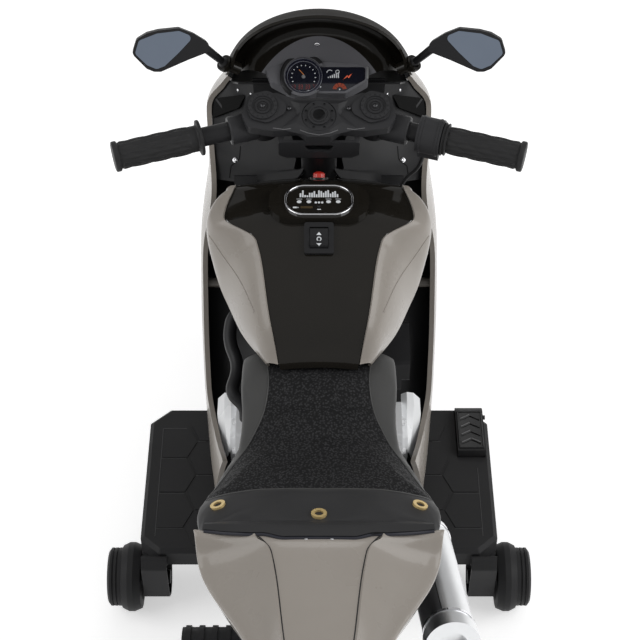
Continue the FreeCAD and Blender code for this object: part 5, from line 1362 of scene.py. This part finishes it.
class MOTORBIKE_OT_trim(bpy.types.Operator):
    """Add screws, seams, painted highlights along the yoke's edges, tank creases, engine shields and silencer rings to
    the body
    """

    bl_idname = "motorbike.trim"
    bl_label = "Trim"

    def execute(self, context):
        self.screws()
        self.panels()
        self.edges()
        self.tank()
        self.shields()
        self.tail()
        self.silencer()
        return {"FINISHED"}

    @staticmethod
    def panels():
        """Seams and corner windows of the panels beside the steering head, with a strut across each window. Each window
        is a black plate: painted shade where the cut-out opens into the dark inside.
        """
        seam = [(240.5, 146), (239.5, 159), (231, 166), (229.5, 178)]
        window = [(216.5, 99), (222, 97.5), (246, 94.8), (241, 108), (230, 112), (213.5, 118)]
        seams, windows, struts = [], [], []
        for node in ("left", "right"):
            nodes = ["inner_panels", "side_fairing_" + node]
            place = mirrored if node == "right" else list
            seams.append(lines_on(nodes, [place(seam)], 1.3, 0.4))
            at, normal = seen_path(nodes, place(window + window[:1]), 3.0)
            middle, axes = at.mean(0), facing(normal)
            outline = ((at[:-1] - middle) @ axes.T)[:, :2]
            low = ((at - middle) @ axes.T)[:, 2].max()
            # The window's plate is painted shade
            windows.append(plate(outline, -3 * MM, low + 0.4 * MM, 0.2 * MM, middle, axes))
            at, normal = seen_path(nodes, place([(218, 99), (227.5, 112)]))
            struts.append(ribbon(at + normal * (low + 0.3 * MM), normal, 3.4 * MM, 1.2 * MM))
        put("panel_seams", joined(seams), "seam_and_shade_black", "chassis")
        put("panel_window_shades", joined(windows), "seam_and_shade_black", "chassis")
        put("panel_struts", joined(struts), "hood_grey", "chassis")

    @staticmethod
    def edges():
        """Light lines along the top yoke's edges: painted highlights."""
        lines = [[(273, 128), (284, 129.5), (291, 128.5)], [(300, 130), (308, 133), (319, 135), (330, 133), (338, 130)]]
        edges = lines_on(["top_yoke", "steering_column"], lines + [mirrored(lines[0])], 0.9, 0.25)
        put("yoke_highlights", edges, "edge_highlight_grey", "steering")

    @staticmethod
    def tank():
        """A low crease down each painted side of the tank, and two low swells in its black slope. A swell lies on the
        cubic that fits the slope round it, and rises with the square of one less the square of its radius."""
        crease = [(209, 236), (222, 256), (240, 280), (254, 312)]
        runs = []
        for node, line in (("tank_side_left", crease), ("tank_side_right", mirrored(crease))):
            hits = [at_pixel([node], px, py) for px, py in smooth_path(line, 40)]
            runs.append(ribbon([h[0] for h in hits], [h[1] for h in hits], 3.0 * MM, 0.7 * MM))
        put("tank_creases", joined(runs), "taupe_paint", "chassis")
        x, y = (g.ravel() for g in np.meshgrid(np.linspace(-24, 24, 25), np.linspace(-24, 24, 25)))
        z = settle(surface_of("tank_cover"), above(PLUG_AT[0] + x, PLUG_AT[1] + y), DOWN)[0][:, 2] / MM
        terms = lambda x, y: np.stack([x ** i * y ** j for i in range(4) for j in range(4 - i)], -1)
        around = (np.hypot(x, y) > 9) & np.isfinite(z)
        bend = np.linalg.lstsq(terms(x, y)[around], z[around], rcond=None)[0]
        r = np.concatenate([np.linspace(0.05, PLUG_R, 20), [PLUG_R]])[:, None]
        a = turns(64)
        x, y = r * np.cos(a), r * np.sin(a)
        swell = PLUG_RISE * (1 - (r / PLUG_R) ** 2) ** 2 - 0.15
        swell[-1] = -2.0
        plug = capped(np.stack([PLUG_AT[0] + x, PLUG_AT[1] + y, terms(x, y) @ bend + swell], -1) * MM)
        put("tank_plugs", both_sides(plug), "gloss_black", "chassis")

    @staticmethod
    def shields():
        """Bright shields over the engine covers, in a silver lightened with painted light: three facets carried down in
        straight rows.
        """
        rows = [(52, 286, 101, 122), (36, 276, 101, 123), (14, 264, 101, 120), (-12, 250, 101, 112)]
        drop = np.array([4.0, 0.0, 1.5, 12.0])
        share = np.array([0.0, 0.30, 0.62, 1.0])
        grid = np.array([np.column_stack([a + (b - a) * share, np.full(4, y), z - drop]) for y, z, a, b in rows]) * MM
        put("engine_shields", both_sides(slab(grid, LINER)), "satin_silver_painted_light", "chassis", 20.0)

    @staticmethod
    def screws():
        dark_nodes = ["inner_panels", "dash_housing", "windscreen", "side_fairing_left", "side_fairing_right",
                      "top_yoke", "tank_cover"]
        shapes = []
        for px, py, r in ((235, 160, 3.6), (403, 160, 3.6), (238, 90, 2.0), (251, 94, 2.0), (400, 90, 2.0),
                          (387, 94, 2.0), (317, 44, 3.4)):
            shapes.append(screw(*at_pixel(dark_nodes, px, py), r))
        put("panel_screws", joined(shapes), "chrome_trim", "chassis")
        shapes = [screw(*at_pixel(["tail_top"], px, 539), 1.8) for px in (306, 332)]
        put("tail_screws", joined(shapes), "plain_steel", "chassis")

    @staticmethod
    def tail():
        """Dark lines in the joints between the tail's centre strip and its sides."""
        stations = [(-300, 64, 474), (-326, 47, 478), (-428, 33, 479), (-504.7, 23, 470)]
        y = np.linspace(-301, -503, 60)
        line = np.column_stack([hermite(y, stations, 1) + 0.3, y, hermite(y, stations, 2) - 2.0])
        run = ribbon(line * MM, (0.1, 0, 1), 1.7 * MM, 0.25 * MM)
        put("tail_seams", both_sides(run), "ribbed_rubber", "chassis")

    @staticmethod
    def silencer():
        """Two rings round the silencer and a dark seam along its fold."""
        (a, b), d = SILENCER_ENDS, SILENCER_DIR
        length = np.linalg.norm(b - a)
        ring = np.array([(-2.2, 27.6), (-1.8, 29), (1.8, 29), (2.2, 27.6)]) * MM
        rings = [lathe(ring + (s, 0), a, d, 64) for s in (8 * MM, length - 9 * MM)]
        put("silencer_rings", joined(rings), "chrome_trim", "chassis")
        t = np.linspace(12 * MM, length - 13 * MM, 30)[:, None]
        seam = ribbon(a + d * t + SILENCER_FOLD * 27.9 * MM, SILENCER_FOLD, 1.3 * MM, 0.4 * MM)
        put("silencer_seam", seam, "satin_black", "chassis")


class MOTORBIKE_OT_liners(bpy.types.Operator):
    """Close the nose and the steering head with black liners"""

    bl_idname = "motorbike.liners"
    bl_label = "Liners"

    def execute(self, context):
        pan = [(257, 601, 95), (283, 582, 102), (304, 567, 106), (352, 558, 100), (403, 548, 88)]
        wall = [(262, 604, 78), (262, 560, 76), (262, 500, 60), (262, 456, 50)]
        corner = np.array([[(x, 204, z) for x in (74, 88, 101)] for z in (504, 492, 480)], float) * MM
        for name, shape in (("nose_liner", slab(sheet_rows(pan, 9), LINER)),
                            ("head_liner", slab(sheet_rows(wall, 9), LINER)),
                            ("corner_liners", both_sides(slab(corner, LINER)))):
            put(name, shape, "satin_black", "chassis")
        return {"FINISHED"}


# Studio: strength of the surround for the object's light, glow of the floor, and the soft boxes, each with its place
# and size in metres and its power in watts, turned to one point
SURROUND = 0.42
FLOOR_GLOW = 0.50
SOFT_BOXES = [((0.0, 2.3, 2.6), 0.9, 5.6), ((-2.1, -0.5, 1.9), 2.0, 23.0), ((2.1, -0.5, 1.9), 2.0, 33.0)]
LIGHT_AIM = (0.0, 0.0, 0.35)


class MOTORBIKE_OT_stage(bpy.types.Operator):
    """Make the floor, the light and the camera"""

    bl_idname = "motorbike.stage"
    bl_label = "Stage"

    def execute(self, context):
        scene = context.scene
        scene.view_settings.view_transform = "Standard"
        self.floor()
        self.light(scene)
        self.camera(scene)
        return {"FINISHED"}

    @staticmethod
    def floor():
        """A round floor, which glows where it is seen, directly or in a mirror."""
        a = turns(64)
        verts = size_props().floor * np.column_stack([np.cos(a), np.sin(a), np.zeros(64)])
        mesh = bpy.data.meshes.new("floor")
        mesh.from_pydata(verts.tolist(), [], [list(range(64))])
        material, g, shader = blank("pale_floor")
        path = g.add("ShaderNodeLightPath").node.outputs
        seen = g.math("MAXIMUM", path["Is Camera Ray"], path["Is Transmission Ray"])
        glow = g.math("MULTIPLY", g.math("MAXIMUM", seen, path["Is Glossy Ray"]), FLOOR_GLOW)
        g.fill(shader, {"Base Color": (0.93, 0.93, 0.93, 1), "Emission Color": (1, 1, 1, 1), "Emission Strength": glow,
                        "Roughness": 0.9, "Specular IOR Level": 0.0})
        mesh.materials.append(material)
        piece = bpy.data.objects.new("floor", mesh)
        bpy.context.scene.collection.objects.link(piece)

    @staticmethod
    def light(scene):
        """An even pale surround, brighter to the eye than to the object, and three soft boxes."""
        world = bpy.data.worlds.new("studio")
        world.use_nodes = True
        g = Graph(world.node_tree)
        level = g.ramp(g.add("ShaderNodeLightPath", output="Is Camera Ray"), 0.0, 1.0, SURROUND, 1.0, "LINEAR")
        g.fill(world.node_tree.nodes["Background"], {"Color": (1, 1, 1, 1), "Strength": level})
        scene.world = world
        for k, (at, size, power) in enumerate(SOFT_BOXES):
            lamp = bpy.data.lights.new("soft_box_%d" % k, "AREA")
            lamp.size = size
            lamp.energy = power
            box = bpy.data.objects.new("soft_box_%d" % k, lamp)
            box.location = at
            box.rotation_euler = (Vector(LIGHT_AIM) - Vector(at)).to_track_quat("-Z", "Y").to_euler()
            scene.collection.objects.link(box)

    @staticmethod
    def camera(scene):
        data = bpy.data.cameras.new("camera")
        data.sensor_width = SENSOR
        data.lens = FOCAL_PIXELS / PICTURE * SENSOR
        data.shift_x = (PICTURE / 2 - CENTRE_PIXEL[0]) / PICTURE
        data.clip_end = 50.0
        camera = bpy.data.objects.new("camera", data)
        camera.location = CAM_AT
        camera.rotation_euler = Vector(-CAM_BACK).to_track_quat("-Z", "Y").to_euler()
        scene.collection.objects.link(camera)
        scene.camera = camera


class MOTORBIKE_PT_panel(bpy.types.Panel):
    """Sidebar panel with the finishes, the sizes and the steps"""

    bl_idname = "MOTORBIKE_PT_panel"
    bl_label = "Kids electric motorbike"
    bl_space_type = "VIEW_3D"
    bl_region_type = "UI"
    bl_category = "Motorbike"

    def draw(self, context):
        for group in (context.scene.motorbike_finish, context.scene.motorbike_size):
            box = self.layout.box()
            for key in group.__annotations__:
                box.prop(group, key)
        for step in STEPS:
            self.layout.operator("motorbike." + step)


CLASSES = (
    MOTORBIKE_PG_finish, MOTORBIKE_PG_size, MOTORBIKE_OT_finishes, MOTORBIKE_OT_seat, MOTORBIKE_OT_grips,
    MOTORBIKE_OT_cable, MOTORBIKE_OT_dash, MOTORBIKE_OT_controls, MOTORBIKE_OT_yoke, MOTORBIKE_OT_boards,
    MOTORBIKE_OT_trim, MOTORBIKE_OT_liners, MOTORBIKE_OT_stage, MOTORBIKE_PT_panel,
)
STEPS = ("finishes", "seat", "grips", "cable", "dash", "controls", "yoke", "boards", "trim", "liners", "stage")


def register():
    for cls in CLASSES:
        bpy.utils.register_class(cls)
    bpy.types.Scene.motorbike_finish = bpy.props.PointerProperty(type=MOTORBIKE_PG_finish)
    bpy.types.Scene.motorbike_size = bpy.props.PointerProperty(type=MOTORBIKE_PG_size)


def unregister():
    del bpy.types.Scene.motorbike_size
    del bpy.types.Scene.motorbike_finish
    for cls in reversed(CLASSES):
        bpy.utils.unregister_class(cls)


def main():
    """Builds every piece in order."""
    register()
    for step in STEPS:
        getattr(bpy.ops.motorbike, step)()


if __name__ == "__main__":
    main()
